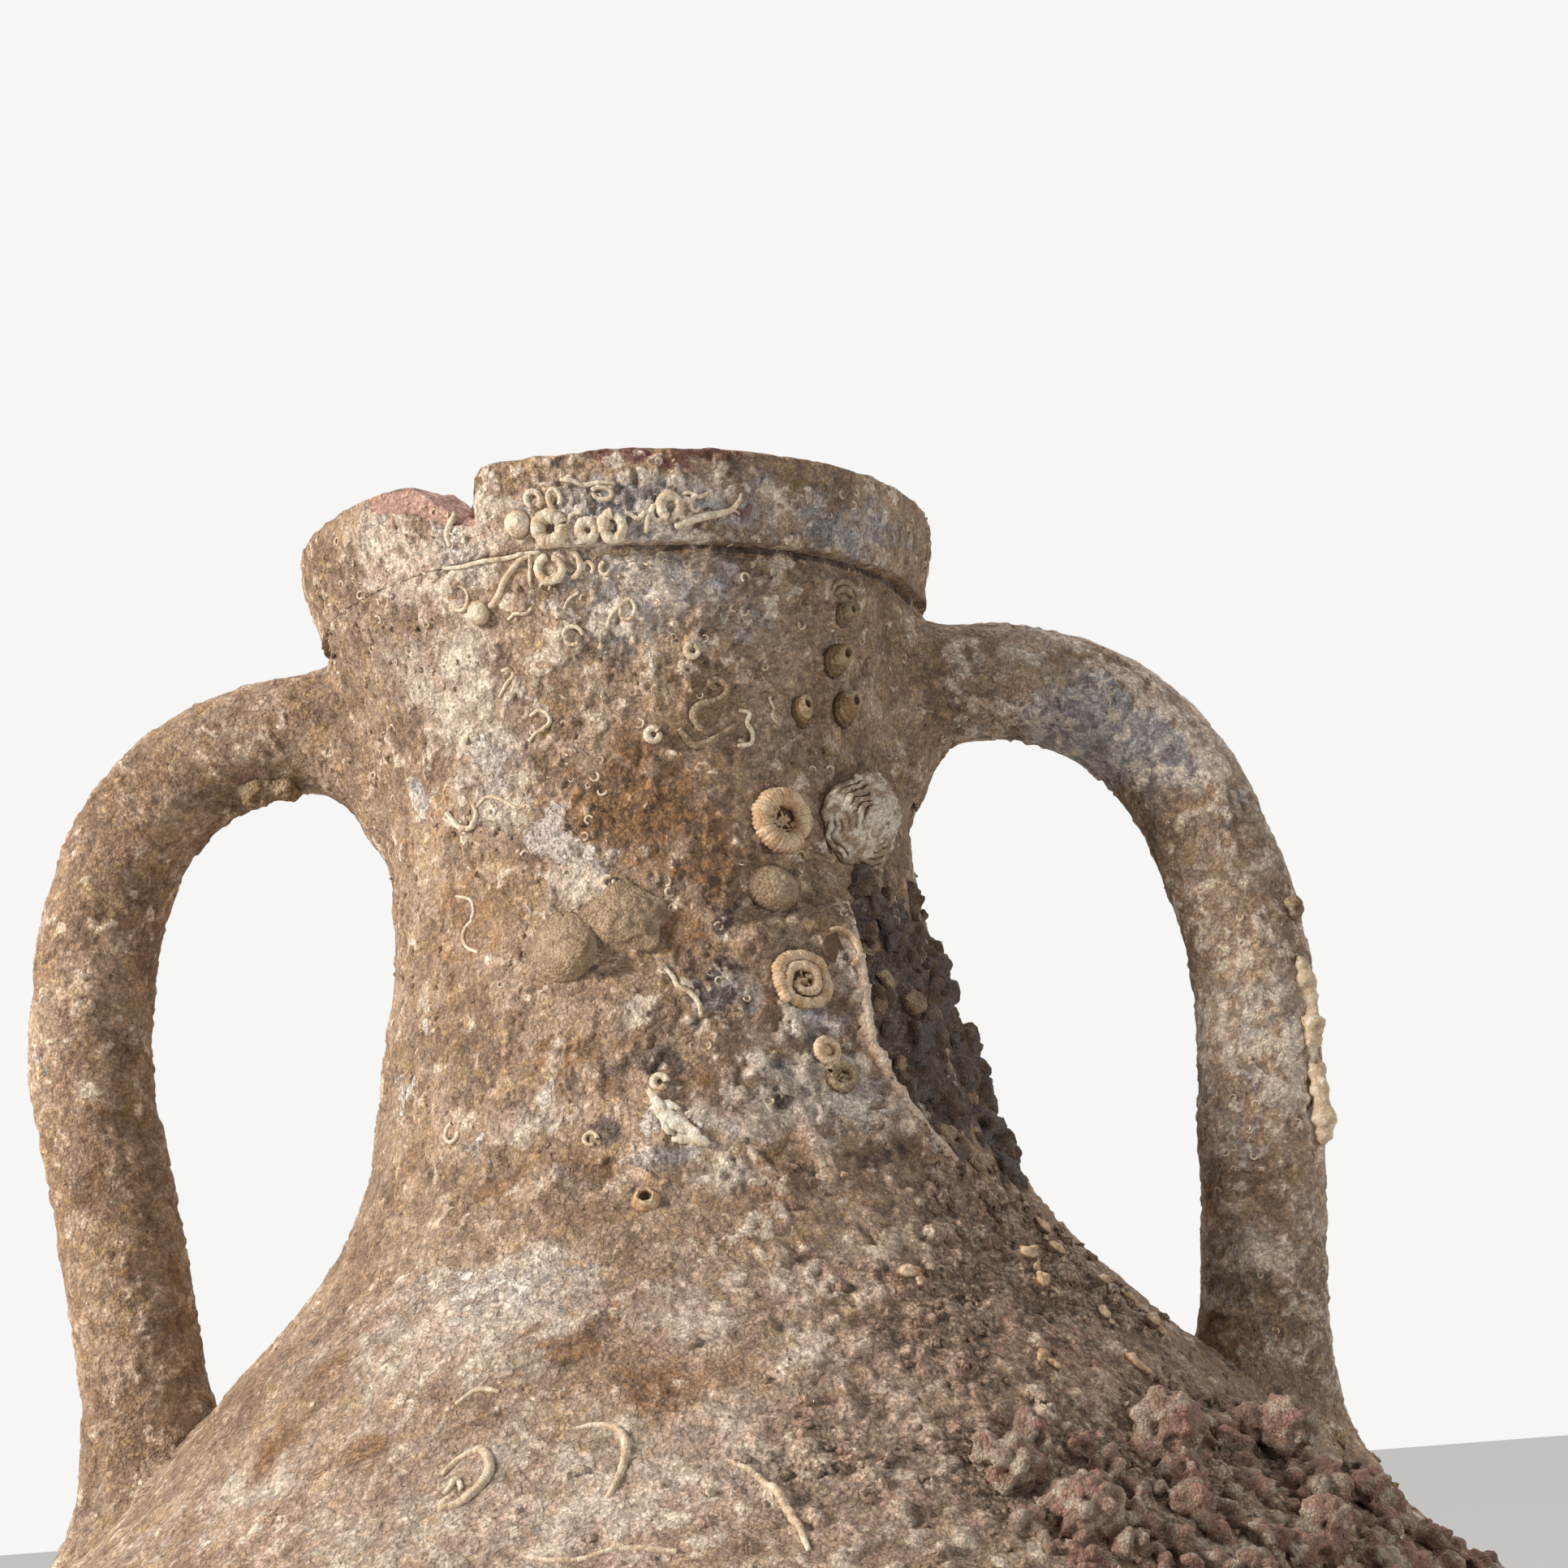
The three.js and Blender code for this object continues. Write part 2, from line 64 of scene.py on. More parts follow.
def smooth_outline():
    """Heights and radii on a smooth curve through the outline, which never swings past a point."""
    z, r = outline[:, 0], outline[:, 1]
    step, rise = np.diff(z), np.diff(r) / np.diff(z)
    slope = np.zeros(len(z))
    slope[0], slope[-1] = rise[0], rise[-1]
    same = rise[:-1] * rise[1:] > 0
    near, far = 2 * step[1:] + step[:-1], step[1:] + 2 * step[:-1]
    slope[1:-1][same] = ((near + far) / (near / rise[:-1] + far / rise[1:]))[same]
    heights = np.arange(0, neck_top + 0.5, 0.5)
    k = np.clip(np.searchsorted(z, heights, side="right") - 1, 0, len(z) - 2)
    t = (heights - z[k]) / step[k]
    radii = ((1 + 2 * t) * (1 - t)**2 * r[k] + t * (1 - t)**2 * step[k] * slope[k]
             + t * t * (3 - 2 * t) * r[k + 1] + t * t * (t - 1) * step[k] * slope[k + 1])
    return heights, radii


wall_heights, wall_radii = smooth_outline()
wall_slopes = np.gradient(wall_radii, wall_heights)


def wall_radius(z):
    """The skin lies a little inside the nominal wall, so that its roughness stays within it."""
    return np.interp(z, wall_heights, wall_radii) - np.interp(z, [0, 470, 560, 760], [1.3, 1.3, 0.4, 0.3])


def steepness(z):
    """How much longer the wall is than the height it climbs."""
    return np.hypot(1, np.interp(z, wall_heights, wall_slopes))


def wall_normal(turn, z):
    """The way out of the wall, from turns in radians."""
    slope, long = np.interp(z, wall_heights, wall_slopes), steepness(z)
    return np.stack([np.cos(turn) / long, np.sin(turn) / long, -slope / long], axis=-1)


def lean(z):
    """How far the axis has moved along X at a height: the neck leans to the left."""
    return -rim_lean * np.maximum((z - lean_start) / (rim_top - lean_start), 0)


def round_axis(turn, radius, z):
    """Places round the leaning axis, from turns in radians."""
    return np.stack([radius * np.cos(turn) + lean(z), radius * np.sin(turn), z], axis=-1)


def turn_of(points):
    """Each point's turn round the leaning axis, in degrees."""
    return np.degrees(np.arctan2(points[:, 1], points[:, 0] - lean(points[:, 2]))) % 360


def unit(arrows):
    """Arrows made one mm long."""
    return arrows / np.linalg.norm(arrows, axis=1, keepdims=True)


def cloud(points, size, seed=0):
    """Smooth random heights from about -1 to 1 that change over a length of about size."""
    cell = points / size + 31.7 + seed * 7.31
    low = np.floor(cell).astype(np.int64)
    part = cell - low
    ease = part**3 * (part * (part * 6 - 15) + 10)
    total = np.zeros(len(points))
    for corner in itertools.product((0, 1), repeat=3):
        key = (low + corner) @ np.array([73856093, 19349663, 83492791]) & 0xFFFFFFFF
        key = (key ^ key >> 15) * 0x2C1B3C6D & 0xFFFFFFFF
        key = (key ^ key >> 12) * 0x297A2D39 & 0xFFFFFFFF
        key ^= key >> 15
        pull = sum(((key >> 10 * i & 1023) / 511.5 - 1) * (part[:, i] - corner[i]) for i in range(3))
        total += pull * np.prod(np.where(corner, ease, 1 - ease), axis=1)
    return total * 1.5


def pebbles(points, size, seed=0):
    """The gap from each point to the nearest scattered centre, in sizes, and that centre's own number."""
    cell = points / size + 57.3 + seed * 5.17
    low = np.floor(cell).astype(np.int64)
    near, own = np.full(len(points), 9.0), np.zeros(len(points))
    for step in itertools.product((-1, 0, 1), repeat=3):
        corner = low + step
        key = corner @ np.array([40503127, 96911501, 26544357]) & 0xFFFFFFFF
        key = (key ^ key >> 16) * 0x45D9F3B & 0xFFFFFFFF
        key = (key ^ key >> 16) * 0x45D9F3B & 0xFFFFFFFF
        key ^= key >> 16
        centre = corner + np.stack([(key >> 10 * i & 1023) / 1023 for i in range(3)], axis=1)
        gap = np.linalg.norm(cell - centre, axis=1)
        closer = gap < near
        near, own = np.where(closer, gap, near), np.where(closer, (key >> 5 & 1023) / 1023, own)
    return near, own


def rise_between(value, low, high):
    """Eases from 0 to 1 as a value climbs from low to high."""
    t = np.clip((value - low) / (high - low), 0, 1)
    return t * t * (3 - 2 * t)


# Growth and stains on the front. Each row is a turn in degrees, a height, the patch's half width in
# degrees, its half height in mm and how strong it is.
patches = {
    "pale": [
    (252.7, 605.2, 4, 8, 1.1), (251.8, 616, 3.5, 5, 1.0),
    (243.2, 600.6, 8, 3.5, 1.0), (254.9, 586.2, 7, 4, 0.9), (268, 623.5, 6, 5, 1.0), (288, 612, 6, 4, 0.9),
    (280, 602, 5, 3.5, 0.9), (293.6, 596.2, 5, 5, 1.0), (281.3, 585.5, 8, 4, 0.8),
    (247, 562, 14, 9, 1.2), (250, 569, 12, 5, 1.0), (228, 524, 12, 8, 0.9), (309, 634, 3, 16, 0.9),
    (311, 597, 6, 9, 1.0), (250, 556, 45, 20, 0.8), (262, 520, 60, 32, 0.75), (238, 742, 26, 14, 1.0),
    (236, 712, 20, 22, 0.9), (242, 690, 12, 26, 0.9), (272, 735, 26, 14, 0.7), (257, 658, 10, 14, 0.8),
    (290, 560, 24, 20, 0.5), (210, 640, 12, 40, 0.35), (295, 520, 20, 16, 0.5), (288, 545, 16, 16, 0.6),
    (255, 606, 16, 6, 0.5), (300, 606, 10, 14, 0.8), (285, 600, 14, 12, 0.8), (262, 712, 12, 14, 0.5)],
    "lime": [(243, 690, 5, 14, 1.1), (254, 669, 6, 9, 1.1), (262, 664, 5, 8, 0.9), (222, 686, 4, 7, 0.6),
             (252, 608, 3, 8, 0.9), (272, 599, 4, 4, 1.2), (236, 596, 8, 4, 0.7), (245, 564, 20, 7, 0.8),
             (221, 629, 3, 6, 0.9), (214, 612, 5, 9, 0.7), (303, 600, 5, 6, 1.0), (263, 721, 9, 6, 0.5),
             (247, 739, 8, 9, 0.7), (261, 746, 9, 6, 0.7), (230, 748, 10, 8, 0.6), (288, 741, 7, 4, 0.5),
             (292, 560, 9, 6, 0.4), (261, 523, 16, 12, 0.5), (318, 590, 5, 5, 0.8), (266, 643, 5, 6, 0.5),
             (268, 745, 12, 7, 0.75), (282, 743, 10, 6, 0.6), (244, 745, 10, 9, 0.7)],
    "rust": [(304.7, 588.4, 6, 5, 1.1), (226, 533, 5, 5, 1.0), (240, 531, 6, 5, 0.9), (226, 549, 5, 5, 0.9),
             (259, 552, 10, 6, 1.1), (270, 543, 9, 6, 1.0), (278, 608, 2.5, 3, 1.1), (265, 607, 6, 6, 0.9),
             (288, 588, 8, 4, 0.9), (262, 590, 8, 4, 0.8), (276, 643, 8, 6, 0.9), (283, 664, 10, 9, 1.1),
             (248, 616.5, 3.5, 4, 1.0), (272, 675, 15, 20, 1.2), (284, 657, 9, 12, 0.9),
             (232, 655, 13, 26, 0.7), (258, 617, 14, 9, 0.8), (224, 600, 10, 7, 0.6),
             (246, 587, 14, 6, 0.6), (275, 583, 12, 8, 0.6), (270, 545, 16, 10, 0.7),
             (212, 655, 9, 18, 0.4), (291, 690, 7, 10, 0.7), (310, 702, 10, 14, 0.7), (320, 560, 8, 9, 0.4),
             (300, 530, 16, 12, 0.5), (232, 640, 14, 20, 0.4), (262, 592, 20, 10, 0.5)],
    "soot_and_shade": [(284.2, 624.4, 4.5, 4.5, 1.2), (272.3, 611, 5, 5, 1.2),
             (261.4, 598, 5, 4, 1.15), (290, 601, 4.5, 4.5, 1.1), (285.3, 634, 4, 5, 1.2),
             (285, 595.6, 3, 2.5, 1.1), (277.6, 596.3, 1.6, 2.5, 1.1), (281, 589, 2.5, 2.5, 1.0),
             # The row at turn 260.5 and height 637.5 is a painted shadow under the limpet's tip.
             (260.5, 637.5, 5, 3.5, 0.9), (285, 648, 7, 9, 1.0), (279, 628, 14, 11, 0.85),
             (264, 612, 12, 8, 0.9), (290, 614, 12, 10, 0.55), (306, 588, 7, 5, 1.1),
             (258, 548, 8, 5, 0.6), (240, 583, 9, 5, 0.5), (318, 562, 22, 22, 0.8), (325, 640, 14, 44, 1.1),
             (300, 690, 9, 14, 0.55), (320, 712, 12, 20, 0.55), (248, 661, 3, 4, 0.6),
             (270, 637, 5, 6, 0.6), (221, 590, 8, 5, 0.5), (336, 545, 16, 22, 0.6), (296, 640, 5, 20, 0.5)],
    "film": [(284, 626, 9, 8, 0.8), (293, 605, 9, 9, 1.0), (270, 590, 12, 5, 0.8), (300, 622, 6, 12, 0.9),
             (281, 600, 5, 5, 0.8), (306, 606, 5, 9, 0.8), (222, 687, 4, 6, 1.1), (275, 742, 26, 10, 0.8),
             (318, 745, 22, 10, 0.9), (298, 720, 14, 12, 0.6), (280, 728, 30, 22, 0.7),
             (283, 748, 30, 9, 0.8), (250, 705, 12, 14, 0.4), (222, 686, 5, 7, 0.9), (262, 660, 7, 10, 0.7),
             (245, 695, 5, 14, 0.5), (300, 746, 22, 9, 0.7), (335, 748, 16, 9, 0.6)],
    "wine": [(289, 519, 8, 7, 0.8), (291, 543, 5, 4, 0.8),
             (254, 684.3, 1.2, 1.4, 1.3), (248.2, 671.2, 1.0, 1.5, 1.3), (250.7, 663.8, 1.0, 1.5, 1.3),
             (291, 744.6, 1.6, 2, 1.3), (296.6, 746, 1.5, 2.4, 1.3), (288.3, 739, 1.4, 1.4, 1.3),
             (282, 758, 26, 4, 1.05), (247, 757, 4, 4, 1.0), (303, 752, 18, 7, 0.6),
             (325, 747, 16, 10, 0.5), (231, 744, 14, 9, 0.45), (224, 726, 10, 12, 0.35),
             (262, 700, 8, 9, 0.3), (295, 524, 14, 10, 0.5), (276, 556, 14, 9, 0.3)],
    "grit": [(322, 560, 26, 26, 1.2), (300, 545, 14, 16, 0.9), (318, 515, 34, 26, 1.2),
             (285, 525, 12, 22, 0.8), (292, 578, 10, 8, 0.5), (306, 560, 16, 14, 0.8)]}

# The thick crust on the neck's right ends in a broken edge: turn and height along that edge.
crust_edge = np.array([(313.2, 650), (311.6, 635.5), (310.3, 624), (309.1, 614), (311.4, 604.3),
                       (313.5, 598.3), (317.3, 588.4), (321.5, 584.3)])


def stains(points):
    """How much of each stain lies at each point. Behind, where nothing is known, broad clouds take over."""
    drift = np.stack([5.5 * cloud(points, 13, 61 + k) + 2.4 * cloud(points, 4.5, 64 + k) for k in range(3)],
                     axis=1)
    spot = points + drift
    turn = turn_of(spot)
    z = spot[:, 2]
    away = (1 - rise_between(np.abs(turn - 268), 75, 105)) * rise_between(z, 480, 520)
    found = {}
    for k, (name, rows) in enumerate(patches.items()):
        front = np.zeros(len(points))
        for at, high, wide, tall, strength in rows:
            front = np.maximum(front, strength * np.exp(-((turn - at) / wide)**2 - ((z - high) / tall)**2))
        broad = 0.3 + 0.55 * cloud(points, 46, 11 + k) + 0.3 * cloud(points, 17, 21 + k)
        if name in ("grit", "film"):
            broad = broad * 0.5
        if name == "wine":
            broad = broad * 0.5 + 0.5 * rise_between(z, 748, 757)
        found[name] = np.clip(front * away + np.maximum(broad, 0) * (1 - 0.8 * away), 0, 1.2)
    # Painted shade: the dark mark is raised along the groove under the collar's overhang and in the hollow
    # behind the crust's broken edge, and the paler marks are taken out there.
    groove = (rise_between(points[:, 2], 734, 736) * (points[:, 2] <= neck_top)
              * rise_between(turn, 264, 277) * (1 - rise_between(turn, 352, 359)))
    found["soot_and_shade"] = np.maximum(found["soot_and_shade"], 1.2 * groove)
    edge = np.interp(points[:, 2], crust_edge[::-1, 1], crust_edge[::-1, 0])
    behind = (rise_between(turn - edge, 0.3, 2) * (1 - rise_between(turn - edge, 22, 34))
              * rise_between(z, 588, 598) * (1 - rise_between(z, 650, 662)))
    found["soot_and_shade"] = np.maximum(found["soot_and_shade"], 1.2 * behind)
    for mark in ("pale", "lime", "film", "wine"):
        found[mark] = found[mark] * (1 - np.maximum(behind, groove))
    found["bare"] = np.zeros(len(points))
    return found


# The handles' line, from inside the neck's wall over the arch to the shoulder: reach from the
# jar's axis and height.
handle_line = np.array([(59.3, 699.3), (82.4, 715), (117.1, 709.2), (139.8, 687.3), (152.3, 638.2),
                        (147.4, 582.4), (143.2, 540.2), (147.0, 500.5)])
handle_radius = 15.6


def through(points, count):
    """Evenly spaced places on a smooth line through the points, with the corners eased by their spacing."""
    ends = [2 * points[0] - points[1], *points, 2 * points[-1] - points[-2]]
    line = []
    for a, b, c, d in zip(ends, ends[1:], ends[2:], ends[3:]):
        s, t, u = (max(np.linalg.norm(q - p), 1e-6)**0.5 for p, q in ((a, b), (b, c), (c, d)))
        leave = ((b - a) / s - (c - a) / (s + t) + (c - b) / t) * t
        arrive = ((c - b) / t - (d - b) / (t + u) + (d - c) / u) * t
        for x in np.linspace(0, 1, 40, endpoint=False):
            line.append((2 * x**3 - 3 * x * x + 1) * b + (x**3 - 2 * x * x + x) * leave
                        + (3 * x * x - 2 * x**3) * c + (x**3 - x * x) * arrive)
    line = np.array([*line, points[-1]])
    way = np.concatenate([[0], np.cumsum(np.linalg.norm(np.diff(line, axis=0), axis=1))])
    even = np.linspace(0, way[-1], count)
    return np.stack([np.interp(even, way, line[:, k]) for k in range(line.shape[1])], axis=1)


handle_path = through(handle_line, 120)
root_fillet = 13


def smear(gap):
    """How high the clay smeared round a handle's end stands, by the gap to that end."""
    return root_fillet * 0.42 * np.maximum(1 - gap / root_fillet, 0)**2


def root_swell(points):
    """The potter smeared clay up round each handle's ends, so the wall rises to meet them."""
    flat = np.stack([np.abs(points[:, 0] - lean(points[:, 2])), points[:, 1], points[:, 2]], axis=1)
    near = np.full(len(points), 1e3)
    for reach, high in handle_path[::2]:
        near = np.minimum(near, np.linalg.norm(flat - (reach, 0, high), axis=1))
    return smear(np.maximum(near - handle_radius, 0))


def crust_bank(turn, z):
    """The thick crust, which thins out to the left of its broken edge, and the hollow behind it."""
    edge = np.interp(z, crust_edge[::-1, 1], crust_edge[::-1, 0])
    back = (edge - turn) * math.pi / 180 * neck_waist
    along = rise_between(z, 578, 592) * (1 - rise_between(z, 645, 655))
    hollow = (-3.0 * rise_between(-back, 1.0, 2.5) * (1 - rise_between(-back, 14, 24))
              * rise_between(z, 592, 600))
    return along * np.where(back < 0, hollow, 5.0 * np.maximum(1 - back / 21, 0)**1.7)


# Lumps in the skin of the neck and shoulder: turn, height, half width and how far they stand out, in mm.
skin_lumps = np.array([
    (285.5, 649, 6.5, 2.2), (290.5, 641, 4, 1.3), (265, 645, 7.5, 1.8),
    (270, 652, 4, 1.0), (293.7, 642, 3.6, 1.9), (288, 655, 4, -0.9), (276.7, 691.4, 2.3, 1.4),
    (270.1, 688.3, 2.4, 1.1), (275.9, 684.6, 2.2, 1.2), (285.5, 711.2, 2.3, 1.5), (288.6, 720.9, 2.1, 1.2),
    (262.2, 715.8, 2.6, 1.4), (248.8, 701.5, 4.5, 0.7), (279, 604, 3, 1.2), (271, 606, 2.6, 1.3),
    (256, 613, 5, 1.0), (294.7, 593.1, 2.8, 2.2), (297.4, 591.9, 2.2, -1.0), (284.4, 567.2, 2.6, 1.5),
    (299.9, 559.3, 4, 2.4), (248, 661, 2.6, 0.9), (262, 660, 2.2, 0.8), (282, 618, 3.4, 1.0),
    (288, 609, 3, 0.9), (263, 627, 3.2, 0.8), (268, 617, 2.6, 1.0), (245, 603, 3.2, 0.8),
    (252, 588, 5, 0.9), (270, 587, 6, 0.9), (235, 575, 7, 0.8), (240, 543, 6, 0.8), (300, 575, 4, 1.0),
    (307.6, 549.5, 3, -1.8), (306.3, 523, 3, -2.0), (320.1, 560.7, 2.6, 2.6), (319.8, 555.8, 2.4, 2.2),
    (331.1, 568.1, 2.4, 2.4), (329, 562.2, 2.4, 2.2), (331.7, 553.5, 2.2, 2.2), (334.4, 544.4, 2.6, 2.4),
    (326, 548, 2, 1.8), (323.1, 536.7, 3, 2.0), (310, 540, 2.6, 1.8), (292, 548, 2.2, 1.6),
    (287, 536, 2.0, 1.6), (296, 541, 1.8, 1.5), (275, 541, 2.2, 1.2), (281, 552, 2.0, 1.3),
    (262, 556, 3, 0.8), (224, 690, 3, 0.9), (230, 612, 3.4, 0.8)])


def broad_relief(points):
    """The thrown wall's slow unevenness, the smear round the handles, the thick crust and single lumps."""
    turn = turn_of(points)
    z = points[:, 2]
    height = 0.42 * cloud(points, 38, 1) + 0.36 * cloud(points, 15, 2)
    radius = wall_radius(np.minimum(z, neck_top - 1))
    for at, high, wide, tall in skin_lumps:
        near = (np.abs(turn - at) < 12) & (np.abs(z - high) < 22)
        if near.any():
            gap = ((turn[near] - at) * math.pi / 180 * radius[near])**2 + (z[near] - high)**2
            height[near] += tall * np.exp(-(gap / wide**2)**1.4)
    under_collar = (2.7 * rise_between(z, 716, 739)**1.3 * (z <= neck_top)
                    * rise_between(turn, 180, 205) * (1 - rise_between(turn, 254, 272)))
    groove = (rise_between(z, 732.5, 735.5) * (z <= neck_top)
              * rise_between(turn, 262, 276) * (1 - rise_between(turn, 352, 359)))
    return height + root_swell(points) + crust_bank(turn, z) + under_collar - groove


def fine_relief(points, found):
    """Flakes, lime scale, grains, a few pits and cemented stones on the skin, in mm."""
    middle, small, tiny = cloud(points, 6.5, 3), cloud(points, 3.1, 4), cloud(points, 1.7, 5)
    height = 0.3 * middle + 0.22 * small + 0.15 * tiny
    crust = rise_between(found["lime"] + 0.4 * middle + 0.35 * small + 0.2 * tiny, 0.36, 0.5)
    height += 0.4 * crust * (0.8 + 0.5 * tiny)
    flake = rise_between(cloud(points, 9, 6) + 0.45 * small + 0.25 * tiny, 0.2, 0.27)
    height += 0.44 * flake * (1 - crust)
    flake = rise_between(cloud(points, 13, 8) - 0.5 * small - 0.25 * tiny, 0.34, 0.41)
    height -= 0.4 * flake
    pit, kind = pebbles(points, 4.6, 7)
    height -= 0.45 * rise_between(0.32 - pit, 0, 0.22) * (kind > 0.94)
    height += 0.55 * rise_between(0.36 - pit, 0, 0.3) * (kind < 0.07)
    turn = np.degrees(np.arctan2(points[:, 1], points[:, 0])) % 360
    smoother = (0.5 * (1 - rise_between(points[:, 2], 562, 590))
                * (1 - rise_between(np.abs(turn - 245), 24, 48)))
    height *= 1 - smoother
    grit = found["grit"]
    if grit.max() > 0.05:
        stone, own = pebbles(points, 3.0, 8)
        height += grit * (1.25 * own * rise_between(0.75 - stone, 0, 0.6) - 0.3)
        stone, own = pebbles(points, 7.5, 9)
        round_top = rise_between(0.5 - stone, 0, 0.4)
        height += grit * (2.3 * (own > 0.68) * round_top - 1.1 * (own < 0.14) * round_top)
    return height


def skin_height(points, found):
    """How far the skin stands out from the thrown wall. Low on the jar it keeps within the widest round."""
    body = rise_between(points[:, 2], 470, 520)
    fine = fine_relief(points, found)
    found["crest"] = fine
    return broad_relief(points) * (0.55 + 0.45 * body) + np.clip(fine, -1.5, 0.75 + 2 * body)


def columns(count, crowd=0.5):
    """Turns round the jar in radians, closer in front than behind."""
    share = np.arange(count) / count - 0.5
    return math.radians(270) + 2 * math.pi * share - crowd * np.sin(2 * math.pi * share)


def wall_points(turns, heights):
    """The thrown wall before it weathered: one row of points for each height."""
    turn, z = np.meshgrid(turns, heights)
    radius = wall_radius(z)
    return round_axis(turn, radius, z).reshape(-1, 3), wall_normal(turn, z).reshape(-1, 3)


def grid_faces(rows, count):
    """Faces between rows of points that each go once round."""
    row, col = np.meshgrid(np.arange(rows - 1), np.arange(count), indexing="ij")
    a, b = row * count + col, row * count + (col + 1) % count
    return np.stack([a, b, b + count, a + count], axis=-1).reshape(-1, 4)


def capped(rows, count):
    """Faces between rows of points, and a fan at each end round one of the two points that come last."""
    last, foot = (rows - 1) * count, rows * count
    faces = grid_faces(rows, count).tolist()
    faces += [[(k + 1) % count, k, foot] for k in range(count)]
    return faces + [[last + k, last + (k + 1) % count, foot + 1] for k in range(count)]


def round_and_back(rows, count):
    """Faces between rows of points, and from the last row back to the first."""
    last = (rows - 1) * count
    back = [[last + k, last + (k + 1) % count, (k + 1) % count, k] for k in range(count)]
    return np.concatenate([grid_faces(rows, count), back])


def with_ends(points, count):
    """Points with the middles of their first and last rows after them."""
    return np.concatenate([points, [points[:count].mean(axis=0), points[-count:].mean(axis=0)]])


def end_marks(found):
    """Marks for the points of a closed piece whose two end points carry no stain."""
    return {mark: np.concatenate([values, [0, 0]]) for mark, values in found.items()}


def linked(name, data):
    """A new object in the scene."""
    made = bpy.data.objects.new(name, data)
    bpy.context.scene.collection.objects.link(made)
    return made


def write_mark(mesh, name, values):
    """Stores one number for each point, for a material or for strewing."""
    stored = mesh.attributes.new(name, "FLOAT", "POINT")
    stored.data.foreach_set("value", np.asarray(values, dtype=np.float32))


def make_piece(name, points, faces, marks):
    """A mesh in the jar's own frame from points in mm, with its marks for the stains."""
    mesh = bpy.data.meshes.new(name)
    mesh.from_pydata((np.asarray(points) * mm).tolist(), [], [list(face) for face in faces])
    for mark, values in marks.items():
        write_mark(mesh, mark, values)
    mesh.validate()
    mesh.shade_smooth()
    mesh.set_sharp_from_angle(angle=math.radians(72))
    return linked(name, mesh)


def thrown_ring(name, heights, count, crowd=0.5):
    """One thrown section: the weathered outside, the plainer inside, and flat faces where it was luted."""
    turns = columns(count, crowd)
    outside, normals = wall_points(turns, heights)
    found = stains(outside)
    outside = outside + normals * skin_height(outside, found)[:, None]
    inner_heights = np.linspace(heights[-1], heights[0], max(len(heights) // 12, 6))
    inside, normals = wall_points(turns, inner_heights)
    depth = clay_wall * steepness(inside[:, 2])
    spin = unit(np.stack([inside[:, 0] - lean(inside[:, 2]), inside[:, 1], 0 * inside[:, 2]], axis=1))
    inside = inside - spin * (depth + 0.5 * cloud(inside, 16, 5))[:, None]
    points = np.concatenate([outside, inside])
    rows = len(heights) + len(inner_heights)
    faces = round_and_back(rows, count)
    silt = {**stains(inside), "crest": 0.4 * cloud(inside, 4, 12)}
    marks = {mark: np.concatenate([values, silt[mark] * 0.5]) for mark, values in found.items()}
    return make_piece(name, points, faces, marks)


def srgb(red, green, blue):
    """A paint's colour as the renderer needs it, from the numbers that a colour picker shows."""
    shares = (red / 255, green / 255, blue / 255)
    return tuple(c / 12.92 if c <= 0.04045 else ((c + 0.055) / 1.055)**2.4 for c in shares) + (1,)


def new_material(name):
    """A new material and its nodes."""
    material = bpy.data.materials.new(name)
    material.use_nodes = True
    return material, material.node_tree


def node(tree, kind, inputs=(), **settings):
    """A node with its settings, and its inputs set to a value or linked to a socket."""
    made = tree.nodes.new(kind)
    for key, value in settings.items():
        setattr(made, key, value)
    for key, value in dict(inputs).items():
        if isinstance(value, bpy.types.NodeSocket):
            tree.links.new(value, made.inputs[key])
        else:
            made.inputs[key].default_value = value
    return made


def speckle(tree, size, detail=3, rough=0.6, distort=0):
    """Noise over the object's own coordinates, with its main lumps about size mm wide."""
    place = node(tree, "ShaderNodeTexCoord").outputs["Object"]
    return node(tree, "ShaderNodeTexNoise", {"Vector": place, "Scale": 1 / (size * mm), "Detail": detail,
                                             "Roughness": rough, "Distortion": distort}).outputs["Fac"]


def grains(tree, size, stir=0.0, feature="F1"):
    """Grains about size mm wide: the distance from each one's middle or edge, and its own random number."""
    place = node(tree, "ShaderNodeTexCoord").outputs["Object"]
    if stir:
        push = node(tree, "ShaderNodeTexNoise",
                    {"Vector": place, "Scale": 1 / (size * 1.7 * mm), "Detail": 3}).outputs["Color"]
        push = node(tree, "ShaderNodeVectorMath", {0: push, "Scale": stir * mm},
                    operation="SCALE").outputs["Vector"]
        place = node(tree, "ShaderNodeVectorMath", {0: place, 1: push}, operation="ADD").outputs["Vector"]
    made = node(tree, "ShaderNodeTexVoronoi", {"Vector": place, "Scale": 1 / (size * mm)}, feature=feature)
    if feature != "F1":
        return made.outputs["Distance"], None
    own = node(tree, "ShaderNodeSeparateColor", {"Color": made.outputs["Color"]}).outputs["Red"]
    return made.outputs["Distance"], own


def mark_of(tree, name):
    """The number that a mesh stores for each point under this name."""
    return node(tree, "ShaderNodeAttribute", attribute_name=name).outputs["Fac"]


def sums(tree, *terms):
    """Adds sockets, each times its own weight."""
    total = None
    for socket, weight in terms:
        part = node(tree, "ShaderNodeMath", {0: socket, 1: weight}, operation="MULTIPLY").outputs[0]
        if total is not None:
            part = node(tree, "ShaderNodeMath", {0: total, 1: part}, operation="ADD").outputs[0]
        total = part
    return total


def between(tree, value, low, high, bottom=0.0, top=1.0):
    """Eases from bottom to top as a socket, or a sum of weighted sockets, climbs from low to high."""
    value = sums(tree, *value) if isinstance(value, list) else value
    return node(tree, "ShaderNodeMapRange",
                {"Value": value, "From Min": low, "From Max": high, "To Min": bottom, "To Max": top},
                interpolation_type="SMOOTHSTEP").outputs["Result"]


